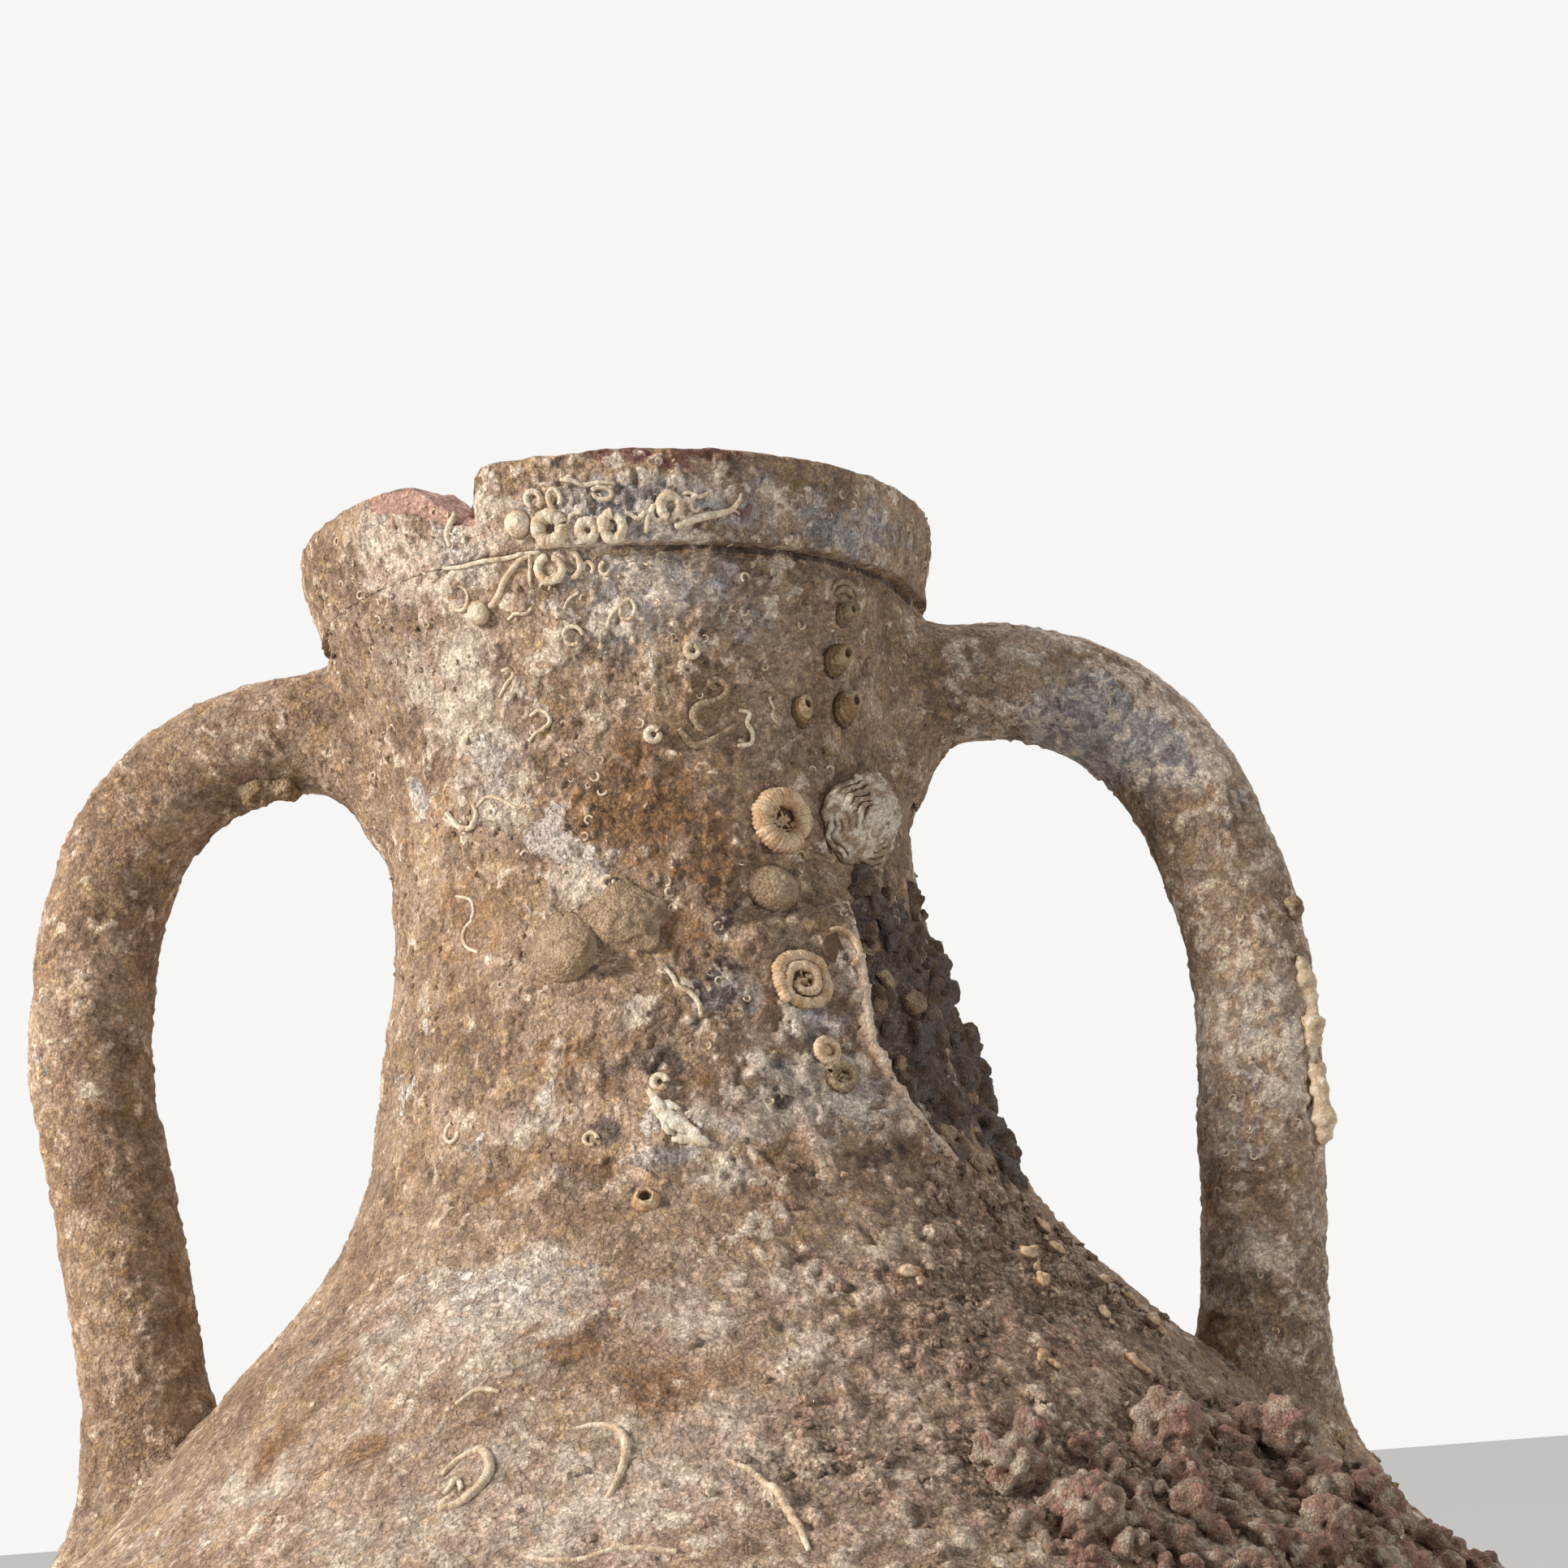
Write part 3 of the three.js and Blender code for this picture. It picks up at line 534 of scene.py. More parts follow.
def coat(tree, amount, under, over):
    """Lays one colour over another by an amount. A colour is a socket or a colour picker's three numbers."""
    made = node(tree, "ShaderNodeMix", {"Factor": amount}, data_type="RGBA")
    for socket, value in ((made.inputs[6], under), (made.inputs[7], over)):
        if isinstance(value, bpy.types.NodeSocket):
            tree.links.new(value, socket)
        else:
            socket.default_value = srgb(*value)
    return made.outputs[2]


def scaled(tree, factor, colour):
    """Darkens or lightens a colour by a factor."""
    made = node(tree, "ShaderNodeVectorMath", {0: colour, "Scale": factor}, operation="SCALE")
    return made.outputs["Vector"]


def bumped(tree, height, depth, under=None):
    """Fine relief of up to depth mm, over another relief if there is one."""
    inputs = {"Height": height, "Distance": depth * mm, "Strength": 1.0}
    if under is not None:
        inputs["Normal"] = under
    return node(tree, "ShaderNodeBump", inputs).outputs["Normal"]


def finish_material(material, tree, colour, roughness, normal):
    shader = tree.nodes["Principled BSDF"]
    shader.inputs["Specular IOR Level"].default_value = 0.25
    tree.links.new(colour, shader.inputs["Base Color"])
    tree.links.new(roughness, shader.inputs["Roughness"])
    tree.links.new(normal, shader.inputs["Normal"])
    return material


def weathered_clay(name, tan, pale, brown):
    """Buff clay under a sandy crust with lime, rust, dark stains and painted shade, a bluish film and
    wine-red growth.
    """
    material, tree = new_material(name)
    broad, middle = speckle(tree, 22, 5, 0.6, 0.6), speckle(tree, 7, 6, 0.62, 0.9)
    small = speckle(tree, 2.8, 5, 0.65, 0.5)
    fine, crest = speckle(tree, 1.2, 4, 0.7), mark_of(tree, "crest")
    leaf = grains(tree, 3.8, 3.2)[1]
    crumb, shade = grains(tree, 1.5, 0.7)
    colour = coat(tree, between(tree, [(broad, 0.5), (middle, 0.5)], 0.43, 0.57), tan, brown)
    gold = between(tree, [(speckle(tree, 6, 6, 0.65, 1.4), 0.8), (small, 0.2)], 0.5, 0.58, 0, 0.6)
    colour = coat(tree, gold, colour, (192, 158, 114))
    wash = between(tree, [(mark_of(tree, "pale"), 0.5), (middle, 0.8), (small, 0.25), (crest, 0.1)],
                   0.76, 0.96, 0, 0.82)
    colour = coat(tree, wash, colour, coat(tree, between(tree, broad, 0.42, 0.6), pale, (208, 178, 158)))
    film = between(tree, [(mark_of(tree, "film"), 0.6), (middle, 0.7), (small, 0.5)], 0.84, 1.16, 0, 0.82)
    colour = coat(tree, film, colour,
                  coat(tree, between(tree, small, 0.4, 0.6), (160, 155, 158), (216, 210, 206)))
    rust = between(tree, [(mark_of(tree, "rust"), 0.5), (middle, 0.8), (small, 0.35)], 0.78, 1.14, 0, 0.9)
    rusty = coat(tree, between(tree, [(middle, 0.5), (small, 0.5)], 0.44, 0.56), (104, 76, 58),
                 (160, 120, 82))
    golden = between(tree, [(crumb, 1.0), (shade, 0.6)], 0.24, 0.38, 1, 0)
    colour = coat(tree, rust, colour, coat(tree, golden, rusty, (184, 148, 104)))
    # The dark mark: real dark stains, and painted shade in the groove under the collar, in the hollow behind
    # the crust's edge and under the limpet's tip.
    soot_and_shade = between(tree, [(mark_of(tree, "soot_and_shade"), 0.5), (small, 0.4), (middle, 0.8)], 0.98, 1.12, 0, 0.86)
    colour = coat(tree, soot_and_shade, colour,
                  coat(tree, between(tree, small, 0.4, 0.6), (80, 66, 62), (126, 110, 102)))
    wine = between(tree, [(mark_of(tree, "wine"), 0.5), (small, 0.6), (middle, 0.5)], 0.92, 1.06, 0, 0.85)
    colour = coat(tree, wine, colour, coat(tree, small, (98, 58, 52), (164, 114, 100)))
    flake = sums(tree, (crest, 0.35), (small, 0.9), (leaf, 0.25), (mark_of(tree, "pale"), 0.2),
                 (mark_of(tree, "film"), 0.14), (mark_of(tree, "rust"), -0.1))
    colour = coat(tree, between(tree, flake, 0.8, 0.88, 0, 0.7), colour,
                  coat(tree, middle, (232, 217, 198), (214, 192, 166)))
    lime_edge = sums(tree, (mark_of(tree, "lime"), 0.5), (speckle(tree, 5.5, 6, 0.65, 1.0), 1.1),
                     (small, 0.2))
    lime = between(tree, lime_edge, 1.0, 1.06, 0, 0.92)
    cracks = between(tree, [(grains(tree, 2.2, 3.4, "DISTANCE_TO_EDGE")[0], 1.0), (small, 0.16)], 0.06, 0.12)
    limes = coat(tree, between(tree, middle, 0.42, 0.58), (224, 210, 195), (198, 182, 172))
    colour = coat(tree, lime, colour, coat(tree, cracks, (164, 138, 116), limes))
    grit = between(tree, [(mark_of(tree, "grit"), 0.5), (middle, 0.8), (small, 0.2)], 0.6, 1.0, 0, 0.8)
    stones = coat(tree, between(tree, [(crumb, 0.5), (shade, 0.4)], 0.2, 0.6), (214, 186, 158),
                  (128, 104, 87))
    stones = coat(tree, between(tree, middle, 0.5, 0.6, 0, 0.6), stones, (198, 156, 132))
    colour = coat(tree, grit, colour, stones)
    colour = coat(tree, mark_of(tree, "bare"), colour, coat(tree, middle, (228, 188, 170), (196, 148, 128)))
    # Lighter on the relief's crests and darker in its dips: worn crests and silt in part, painted light and
    # shade in part.
    colour = scaled(tree, between(tree, crest, -0.7, 0.7, 0.68, 1.16), colour)
    colour = scaled(tree, between(tree, leaf, 0.0, 1.0, 0.92, 1.07), colour)
    colour = scaled(tree, between(tree, speckle(tree, 70, 2, 0.5), 0.38, 0.62, 0.9, 1.07), colour)
    grain = between(tree, [(crumb, -0.4), (shade, 0.35), (fine, 0.8)], 0.05, 0.75, 0.76, 1.17)
    colour = scaled(tree, grain, colour)
    sand, own = grains(tree, 0.8, 0.4)
    colour = scaled(tree, between(tree, [(sand, -0.6), (own, 0.5)], -0.3, 0.4, 0.74, 1.2), colour)
    pore, some = grains(tree, 2.6, 0.5)
    pores = between(tree, [(pore, 1.0), (some, 0.5)], 0.12, 0.22, 1, 0)
    colour = coat(tree, sums(tree, (pores, 0.6)), colour, (78, 62, 52))
    flakes = node(tree, "ShaderNodeMath", {0: leaf, 1: between(tree, middle, 0.44, 0.56)},
                  operation="MULTIPLY").outputs[0]
    normal = bumped(tree, sums(tree, (small, 1.0), (flakes, 0.5), (pores, -0.3), (flake, 0.3)), 1.15)
    normal = bumped(tree, sums(tree, (crumb, -0.5), (fine, 0.8), (sand, -0.45)), 0.8, normal)
    chips = node(tree, "ShaderNodeMath", {0: grit, 1: sums(tree, (crumb, -1.0), (shade, 0.5))},
                 operation="MULTIPLY").outputs[0]
    normal = bumped(tree, chips, 0.9, normal)
    normal = bumped(tree, sums(tree, (lime, 1.0), (cracks, 0.25), (rust, -0.3), (wash, 0.3)), 0.5, normal)
    return finish_material(material, tree, colour, between(tree, fine, 0.2, 0.8, 0.97, 0.82), normal)


sea_clay = weathered_clay("sea_clay", (194, 166, 141), (220, 202, 184), (158, 129, 106))
buried_clay = weathered_clay("buried_clay", (186, 158, 132), (214, 194, 174), (150, 122, 99))


def dress(piece, material, slot, *nodes):
    """Gives a piece its finish and puts it in the place of its plain solid, if it has one."""
    piece.data.materials.append(material)
    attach(piece, "root")
    if nodes:
        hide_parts(*nodes)


def toe_piece():
    """The solid toe, with a worn edge round its flat end."""
    count = 160
    heights = np.concatenate([[0.2, 0.8], np.linspace(2.2, toe_top, 70)])
    points, normals = wall_points(columns(count), heights)
    points[:count, :2] *= 0.93
    points[count:2 * count, :2] *= 0.975
    found = stains(points)
    points = points + normals * (skin_height(points, found) * rise_between(points[:, 2], 0.5, 6))[:, None]
    points = np.concatenate([points, [(0, 0, 0.1), (0, 0, toe_top)]])
    return make_piece("toe_clay", points, capped(len(heights), count), end_marks(found))


dress(toe_piece(), buried_clay, "body_clay", "toe")
dress(thrown_ring("lower_body_clay", np.linspace(toe_top, lower_top, 130), 600, 0.1), buried_clay,
      "body_clay", "lower_body")
dress(thrown_ring("belly_clay", np.linspace(lower_top, belly_top, 54), 600, 0.1), buried_clay, "body_clay",
      "belly")

# Shoulder
# The shoulder was thrown with the belly's clay and closed in to the neck. Grit and small stones
# are cemented over its right side, and worn scars of shells lie across its front.

shoulder_clay = thrown_ring("shoulder_clay", np.linspace(belly_top, shoulder_top, 172), 500)
dress(shoulder_clay, sea_clay, "clay", "shoulder")

# Neck
# The neck was thrown apart and luted on. It narrows to a waist and opens again under the rim, and
# it leans a little to the left.

neck_clay = thrown_ring("neck_clay", np.linspace(shoulder_top, neck_top, 174), 500)
dress(neck_clay, sea_clay, "clay", "neck")

# Rim collar
# A thick band was thrown on the neck's edge, with a small overhang at its foot. A piece has broken
# out of it on the left, and the break shows the pinker, fresher clay inside.

rim_outline = np.array([(737, 80.5), (746.2, 83.2), (752, 84.7), (755.4, 85), (758.5, 85)])
rim_outer, rim_inner, rim_foot_inner = 85, 72, 67.8
# The skin lies this much inside the band's outline, so that its roughness stays within it.
rim_inset = 0.35
# The break's lip: turn in degrees, then how far the lip lies below the rim outside and inside.
rim_break = np.array([(232, 0, 0), (238.5, 1.2, 0.2), (241.5, 5.0, 0.8), (244.5, 8.6, 4.2),
                      (247.5, 11.6, 8.5), (249.5, 12.2, 10.5), (250.6, 9.5, 8.5), (251.4, 3.5, 3.0),
                      (252.6, 0.8, 0.4), (254, 0, 0)])


def band_radius(z):
    """The nominal outside of the rim's band."""
    return np.interp(z, rim_outline[:, 0], rim_outline[:, 1])


def rim_piece():
    """The band as rows of points up its outside, over the top, across the break and down inside."""
    count, climb, across, down = 1000, 34, 18, 14
    turns = columns(count)
    degrees = np.degrees(turns) % 360
    outer_drop = np.interp(degrees, rim_break[:, 0], rim_break[:, 1])
    inner_drop = np.interp(degrees, rim_break[:, 0], rim_break[:, 2])
    ring = np.stack([80 * np.cos(turns), 80 * np.sin(turns), 0 * turns], axis=1)
    worn = 0.5 + 0.5 * cloud(ring, 9, 31) + 0.35 * cloud(ring, 3, 32)
    worn = 0.15 + 0.9 * np.clip(worn, 0, 2)
    rows, broken = [], []
    for share in np.linspace(0, 1, climb):
        top = rim_top - 1.0 - worn - outer_drop
        z = neck_top + 0.02 + (top - neck_top - 0.02) * share
        rows.append((band_radius(z) - rim_inset, z))
        broken.append(0 * z)
    for share in np.linspace(0, 1, across + 2)[1:-1]:
        drop = outer_drop + (inner_drop - outer_drop) * share
        rounding = (1 - np.minimum(share, 1 - share) * 6).clip(0, 1)**2
        wave = 0.45 * cloud(np.stack([ring[:, 0] + share * 12, ring[:, 1], 0 * turns], axis=1), 3, 33)
        hurt = rise_between(outer_drop, 0.6, 2.5)
        z = rim_top - worn - drop - rounding * (1 - hurt) - hurt * (0.3 + np.abs(wave)) - 0.25 * np.abs(wave)
        rows.append((rim_outer - rim_inset + (rim_inner - rim_outer) * share + 0 * z, z))
        broken.append(hurt)
    for share in np.linspace(0, 1, down):
        top = rim_top - 1.2 - worn - inner_drop
        z = top + (neck_top - top) * share
        rows.append((rim_inner + (rim_foot_inner - rim_inner) * rise_between(share, 0, 1) + 0 * z, z))
        broken.append(0 * z)
    radius, z = (np.concatenate([row[k] for row in rows]) for k in (0, 1))
    turn = np.tile(turns, len(rows))
    points = round_axis(turn, radius, z)
    side = np.stack([np.cos(turn), np.sin(turn), 0 * turn], axis=1)
    found = stains(points)
    found["bare"] = np.concatenate(broken)
    outside = np.repeat([1.0] * climb + [0.0] * across + [-0.4] * down, count)
    facing = np.degrees(turn) % 360
    foot = np.interp(facing, [229, 238, 244, 250], [754.5, 751, 746.5, 744.5])
    facet = (rise_between(facing, 227, 230) * (1 - rise_between(facing, 249.5, 251))
             * rise_between(z + 0.5 * cloud(points, 2.5, 34), foot, foot + 0.8) * (outside > 0))
    found["bare"] = np.maximum(found["bare"], facet)
    bare = found["bare"]
    rough = skin_height(points, found) * outside
    found["crest"] = found["crest"] * (1 - bare)
    points = points + side * (np.clip(rough, -1.5, 1.5) * (1 - 0.7 * facet) - facet)[:, None]
    points[:, 2] = np.minimum(points[:, 2], rim_top - 0.05)
    for mark in ("lime", "film", "wine"):
        found[mark] = found[mark] * (1 - found["bare"])
    return make_piece("rim_collar_clay", points, round_and_back(len(rows), count), found)


rim_collar_clay = rim_piece()
dress(rim_collar_clay, sea_clay, "clay", "rim_collar")

# Handles
# Two pulled rolls of clay, round in section, pressed on under the rim and on the shoulder. They are
# thicker where the potter smeared them on.

# The handles' ends reach this far behind the wall's skin, where the wall hides them.
root_depth = 5


def handle_piece(name, side):
    """One handle along its line; side is 1 on the right and -1 on the left."""
    count, rings = 96, 300
    path = through(handle_line, rings)
    ahead = unit(np.gradient(path, axis=0))
    way = np.linspace(0, 1, rings)
    around = np.linspace(0, 2 * math.pi, count, endpoint=False)
    centre = np.repeat(np.stack([path[:, 0], 0 * way, path[:, 1]], axis=1), count, axis=0)
    outer = np.repeat(np.stack([-ahead[:, 1], 0 * way, ahead[:, 0]], axis=1), count, axis=0)
    turn = np.tile(around, rings)
    spoke = outer * np.cos(turn)[:, None] + np.array([0, -1, 0]) * np.sin(turn)[:, None]
    bare = centre + spoke * handle_radius
    flip = np.array([side, side, 1])
    seat_gap = (bare[:, 0]**2 + bare[:, 1]**2)**0.5 - wall_radius(bare[:, 2])
    seat_gap = np.maximum(seat_gap / steepness(bare[:, 2]), 0)
    placed = bare * flip
    placed[:, 0] += lean(placed[:, 2])
    found = stains(placed)
    found["grit"] = found["grit"] * 0
    far = rise_between(seat_gap, 4, 18)
    shares = {"pale": (0.35, 0.5), "lime": (0.12, 0.3), "rust": (0.5, 0.1), "soot_and_shade": (0.12, 0.0),
              "film": (0.05, 0.36), "wine": (0.05, 0.36)}
    for k, (mark, share) in enumerate(shares.items()):
        own = share[side > 0] + (0.3 + 0.1 * side) * cloud(placed, 34, 41 + k)
        own = own + 0.2 * cloud(placed, 12, 51 + k)
        found[mark] = np.clip(found[mark] * (1 - far) + far * own, 0, 1.2)
    arch = np.exp(-((placed[:, 0] - 115) / 32)**2 - ((placed[:, 2] - 695) / 22)**2) * (side > 0)
    topside = rise_between(np.cos(turn) + 0.25 * cloud(placed, 7, 57), 0.15, 0.45)
    found["film"] = np.clip(found["film"] * (1 - arch * topside) + 0.9 * arch * (1 - topside), 0, 1.2)
    found["lime"] = np.clip(found["lime"] * (1 - 0.6 * arch) + 0.55 * arch * topside, 0, 1.2)
    found["pale"] = np.clip(found["pale"] * (1 - arch) + 1.1 * arch * topside, 0, 1.2)
    found["rust"] = found["rust"] * (1 - 0.8 * arch)
    specks = np.exp(-((placed[:, 2] - 640) / 34)**2) * rise_between(np.cos(turn), 0.1, 0.6) * (side < 0)
    found["lime"] = np.clip(found["lime"] + 0.45 * specks, 0, 1.2)
    rough = fine_relief(placed, found)
    found["crest"] = rough
    uneven = 0.55 * cloud(placed, 30, 61) + 0.35 * cloud(placed, 13, 62)
    points = bare + spoke * (smear(seat_gap) + np.clip(rough, -1.2, 1.2) * 0.85 + uneven)[:, None]
    reach = np.hypot(points[:, 0], points[:, 1])
    deep = wall_radius(points[:, 2]) - root_depth * steepness(points[:, 2])
    points[:, :2] *= (np.maximum(reach, deep) / reach)[:, None]
    points = with_ends(points, count) * flip
    points[:, 0] += lean(points[:, 2])
    return make_piece(name, points, capped(rings, count), end_marks(found))


def face_out(piece):
    """Turns a closed mesh's faces outwards."""
    shape = bmesh.new()
    shape.from_mesh(piece.data)
    bmesh.ops.recalc_face_normals(shape, faces=shape.faces)
    shape.to_mesh(piece.data)
    shape.free()


handle_left_clay = handle_piece("handle_left_clay", -1)
handle_right_clay = handle_piece("handle_right_clay", 1)
dress(handle_left_clay, sea_clay, "clay", "handle_left")
dress(handle_right_clay, sea_clay, "clay", "handle_right")

# Coiled worm tubes
# Two sea worms built flat chalky coils on the neck's right: a thick open ring with a worn middle,
# and below it a thinner coil of two turns.

# The band leans out a little as it climbs. Small growth on it is laid with one radius and one slope.
band_middle, band_slope = 84.0, 1.03
tube_step = 0.28


def band_normal(t):
    """The way out of the rim's band, from turns in radians."""
    return np.stack([np.cos(t), np.sin(t), 0 * t - 0.2], axis=-1) / 1.02


def skin(turn, z):
    """Points on the weathered skin at turns in degrees and heights, and the way out of it."""
    turn, z = (np.atleast_1d(np.asarray(v, float)) for v in (turn, z))
    t = np.radians(turn)
    radius = np.where(z > neck_top, band_radius(z) - rim_inset, wall_radius(z))
    out = np.where((z > neck_top)[:, None], band_normal(t), wall_normal(t, np.minimum(z, neck_top - 1)))
    points = round_axis(t, radius, z)
    return points + out * skin_height(points, stains(points))[:, None], out


def laid(shape, turn, z, spin=0):
    """Lays a shape built flat (across, up the slope, out) on the skin round a turn and a height."""
    shape = np.asarray(shape, float)
    a = math.radians(spin)
    across = shape[:, 0] * math.cos(a) - shape[:, 1] * math.sin(a)
    along = shape[:, 0] * math.sin(a) + shape[:, 1] * math.cos(a)
    radius = float(wall_radius(z)) if z < neck_top else band_middle
    slope = float(steepness(z)) if z < neck_top else band_slope
    turns, heights = turn + np.degrees(across / radius), z + along / slope
    t = np.radians(turns)
    radii = np.where(z > neck_top, band_radius(heights), wall_radius(heights))
    out = wall_normal(t, np.minimum(heights, neck_top - 1)) if z < neck_top else band_normal(t)
    base = round_axis(t, radii, heights)
    ground, normal = skin(turn, z)
    middle = np.radians(turn)
    flat = float(wall_radius(z)) if z < neck_top else float(band_radius(z))
    core = np.array([flat * math.cos(middle) + float(lean(z)), flat * math.sin(middle), z])
    stand = float((ground[0] - core) @ normal[0])
    return base + out * (shape[:, 2] + stand)[:, None]


def tube(line, thick, outs=None, ridge=0.06, pitch=0.55, mouth=True, squat=0.35, seed=0):
    """A chalky tube along a line, with growth rings, a spread base and an open mouth at its start."""
    sides = 18
    line = np.asarray(line, float)
    way = np.concatenate([[0], np.cumsum(np.linalg.norm(np.diff(line, axis=0), axis=1))])
    count = int(min(max(way[-1] / tube_step, 12), 420))
    even = np.linspace(0, way[-1], count)
    line = np.stack([np.interp(even, way, line[:, k]) for k in range(3)], axis=1)
    thick = np.interp(even / way[-1], np.linspace(0, 1, len(thick)), thick)
    if outs is None:
        outs = np.tile([0, 0, 1.0], (count, 1))
    else:
        outs = np.stack([np.interp(even, way, outs[:, k]) for k in range(3)], axis=1)
    ahead = np.gradient(line, axis=0)
    ahead /= np.linalg.norm(ahead, axis=1, keepdims=True) + 1e-9
    outs = unit(outs - ahead * (outs * ahead).sum(axis=1, keepdims=True))
    beside = np.cross(ahead, outs)
    chance = np.random.default_rng(100 + seed)
    stops = np.arange(0, way[-1] + pitch, pitch)
    wobble = np.interp(even, stops, chance.normal(0, 1, len(stops)))
    swell = 1 + ridge * (np.abs(np.sin(math.pi * even / pitch)) - 0.6) + ridge * 0.8 * wobble
    radius = thick * swell
    a = np.linspace(0, 2 * math.pi, sides, endpoint=False)
    rings, low = [], []

    def ring(at, scale, shift=0.0, dirt_and_shade=None):
        c, s = np.cos(a), np.sin(a)
        wide = 1 + squat * np.maximum(-s, 0) * (scale > 0.8)
        rings.append(line[at] + shift * ahead[at] + radius[at] * scale * (c * wide)[:, None] * beside[at]
                     + radius[at] * scale * s[:, None] * outs[at])
        # Painted shade: each ring is darker on its underside next to the skin and in the valleys between
        # growth rings.
        valley = 0.9 * (0.55 - abs(math.sin(math.pi * even[at] / pitch))) if ridge else 0
        low.append(np.full(sides, dirt_and_shade) if dirt_and_shade is not None
                   else np.clip(rise_between(-s, -0.35, 0.9) + valley, 0, 1))

    # The open mouth is lined from deep inside to its lip, its deep rings darkened as painted shade.
    if mouth:
        deep = min(int(2.2 * thick[0] / tube_step) + 2, count // 3)
        for at in range(deep, 0, -2):
            ring(at, 0.52, 0, 1.0)
        ring(0, 0.58, 0, 0.8)
        ring(0, 0.8, -0.12 * thick[0], 0.1)
        ring(0, 0.98, -0.05 * thick[0], 0.0)
    for at in range(1 if mouth else 0, count):
        ring(at, 1.0)
    points = np.concatenate(rings)
    first, last = points[:sides].mean(axis=0), points[-sides:].mean(axis=0) + ahead[-1] * thick[-1] * 0.5
    low = np.concatenate([*low, [1.0, 0.5]])
    return np.concatenate([points, [first, last]]), capped(len(rings), sides), low


def turned(profile, sides=64, stretch=(1, 1), tip=(0, 0), ribs=0, rib_depth=0.0, bumps=0.0, bump_size=1.5,
           seed=0):
    """A closed shape turned on the way out, from rows of radius, height and low mark that end at its axis;
    the low mark is silt and painted shade.
    """
    profile = np.asarray(profile, float)
    a = np.linspace(0, 2 * math.pi, sides, endpoint=False)
    top = profile[:, 1].max()
    rings = []
    for radius, high in profile[:, :2]:
        share = np.clip(high / top, 0, 1)
        rib = 1 + rib_depth * np.sin(ribs * a) * min(radius / profile[:, 0].max() * 2, 1)
        rings.append(np.stack([radius * rib * np.cos(a) * stretch[0] + tip[0] * share,
                               radius * rib * np.sin(a) * stretch[1] + tip[1] * share, high + 0 * a], axis=1))
    points = np.concatenate(rings)
    if bumps:
        spot = points + seed * 17.3
        shove = bumps * (0.7 * cloud(spot, bump_size, 71) + 0.5 * cloud(spot, bump_size * 2.6, 72))
        spread = points - np.array([tip[0] * 0.5, tip[1] * 0.5, -top * 0.3])
        points = points + spread / (np.linalg.norm(spread, axis=1, keepdims=True) + 1e-6) * shove[:, None]
    low = np.concatenate([np.repeat(profile[:, 2], sides), [1.0, profile[-1, 2]]])
    return with_ends(points, sides), capped(len(profile), sides), low


def dome(radius, high, flat=2.0, silt=0.0):
    """A low dome's profile, from under the skin to its top, darker towards its foot as painted shade, with at
    least so much silt on it.
    """
    share = np.linspace(1, 0.02, 18)
    return [(radius * 1.02, -0.8, 1.0),
            *[(radius * s, high * (1 - s**flat), max(0.9 * s**6, silt)) for s in share]]


def joined(*parts):
    """Several closed shapes in one piece."""
    points, faces, low, start = [], [], [], 0
    for part_points, part_faces, part_low in parts:
        points.append(part_points)
        faces += [[k + start for k in face] for face in part_faces]
        low.append(part_low)
        start += len(part_points)
    return np.concatenate(points), faces, np.concatenate(low)


def placed(part, turn, z, spin=0):
    """A closed shape built flat, laid on the skin."""
    points, faces, low = part
    return laid(points, turn, z, spin), faces, low


def on_skin(places, thick, lift=0.45, **shape):
    """A worm tube that crawls over the skin through places given as turn and height."""
    places = through(np.array(places, float), max(len(places) * 14, 30))
    middle, outs = skin(places[:, 0], places[:, 1])
    width = np.interp(np.linspace(0, 1, len(places)), np.linspace(0, 1, len(thick)), thick)
    return tube(middle + outs * (width * lift)[:, None], thick, outs, **shape)


def growth(name, part, material, slot, *nodes, silt=0.0):
    """Makes a piece of the sea's growth from a closed shape, with some more silt on it if wanted."""
    points, faces, low = part
    piece = make_piece(name, points, faces, {"low": low + silt})
    face_out(piece)
    dress(piece, material, slot, *nodes)


def chalk(name, pale, warm, dirt_and_shade, grain=0.5, worn=0.35, blotch=None):
    """Old chalky shell: pale and matt, warmer in broad patches, and darker by its low mark: silt and painted
    shade.
    """
    material, tree = new_material(name)
    broad, fine, dust = speckle(tree, 4, 4, 0.65), speckle(tree, 1.0, 4, 0.75), speckle(tree, 0.45, 3, 0.7)
    colour = coat(tree, between(tree, [(broad, 1.0), (mark_of(tree, "low"), 0.3)], 0.47, 0.63), pale, warm)
    if blotch:
        colour = coat(tree, between(tree, speckle(tree, 8, 4, 0.6, 0.8), 0.48, 0.56, 0, 0.85), colour, blotch)
    middle = 0.6 * worn + 0.25
    # Silt and painted shade: the low mark darkens the shell towards its dark colour at its foot, underneath,
    # in grooves, mouths and hollows.
    silt = between(tree, [(mark_of(tree, "low"), 0.9), (fine, 1.2 * worn), (broad, 0.5)],
                   middle + 0.3, middle + 0.85, 0, 0.9)
    colour = coat(tree, silt, colour, dirt_and_shade)
    colour = coat(tree, between(tree, [(dust, 0.5), (fine, 0.5)], 0.55, 0.68, 0, worn * 0.7), colour, dirt_and_shade)
    sand, shade = grains(tree, 0.7, 0.4)
    grit = sums(tree, (sand, -0.5), (shade, 0.3), (fine, 0.8))
    colour = scaled(tree, between(tree, grit, 0.0, 0.7, 1 - 0.45 * worn - 0.12, 1.14), colour)
    height = sums(tree, (fine, 0.7), (dust, 0.4), (sand, -worn))
    return finish_material(material, tree, colour, between(tree, fine, 0.2, 0.8, 0.95, 0.78),
                           bumped(tree, height, grain))


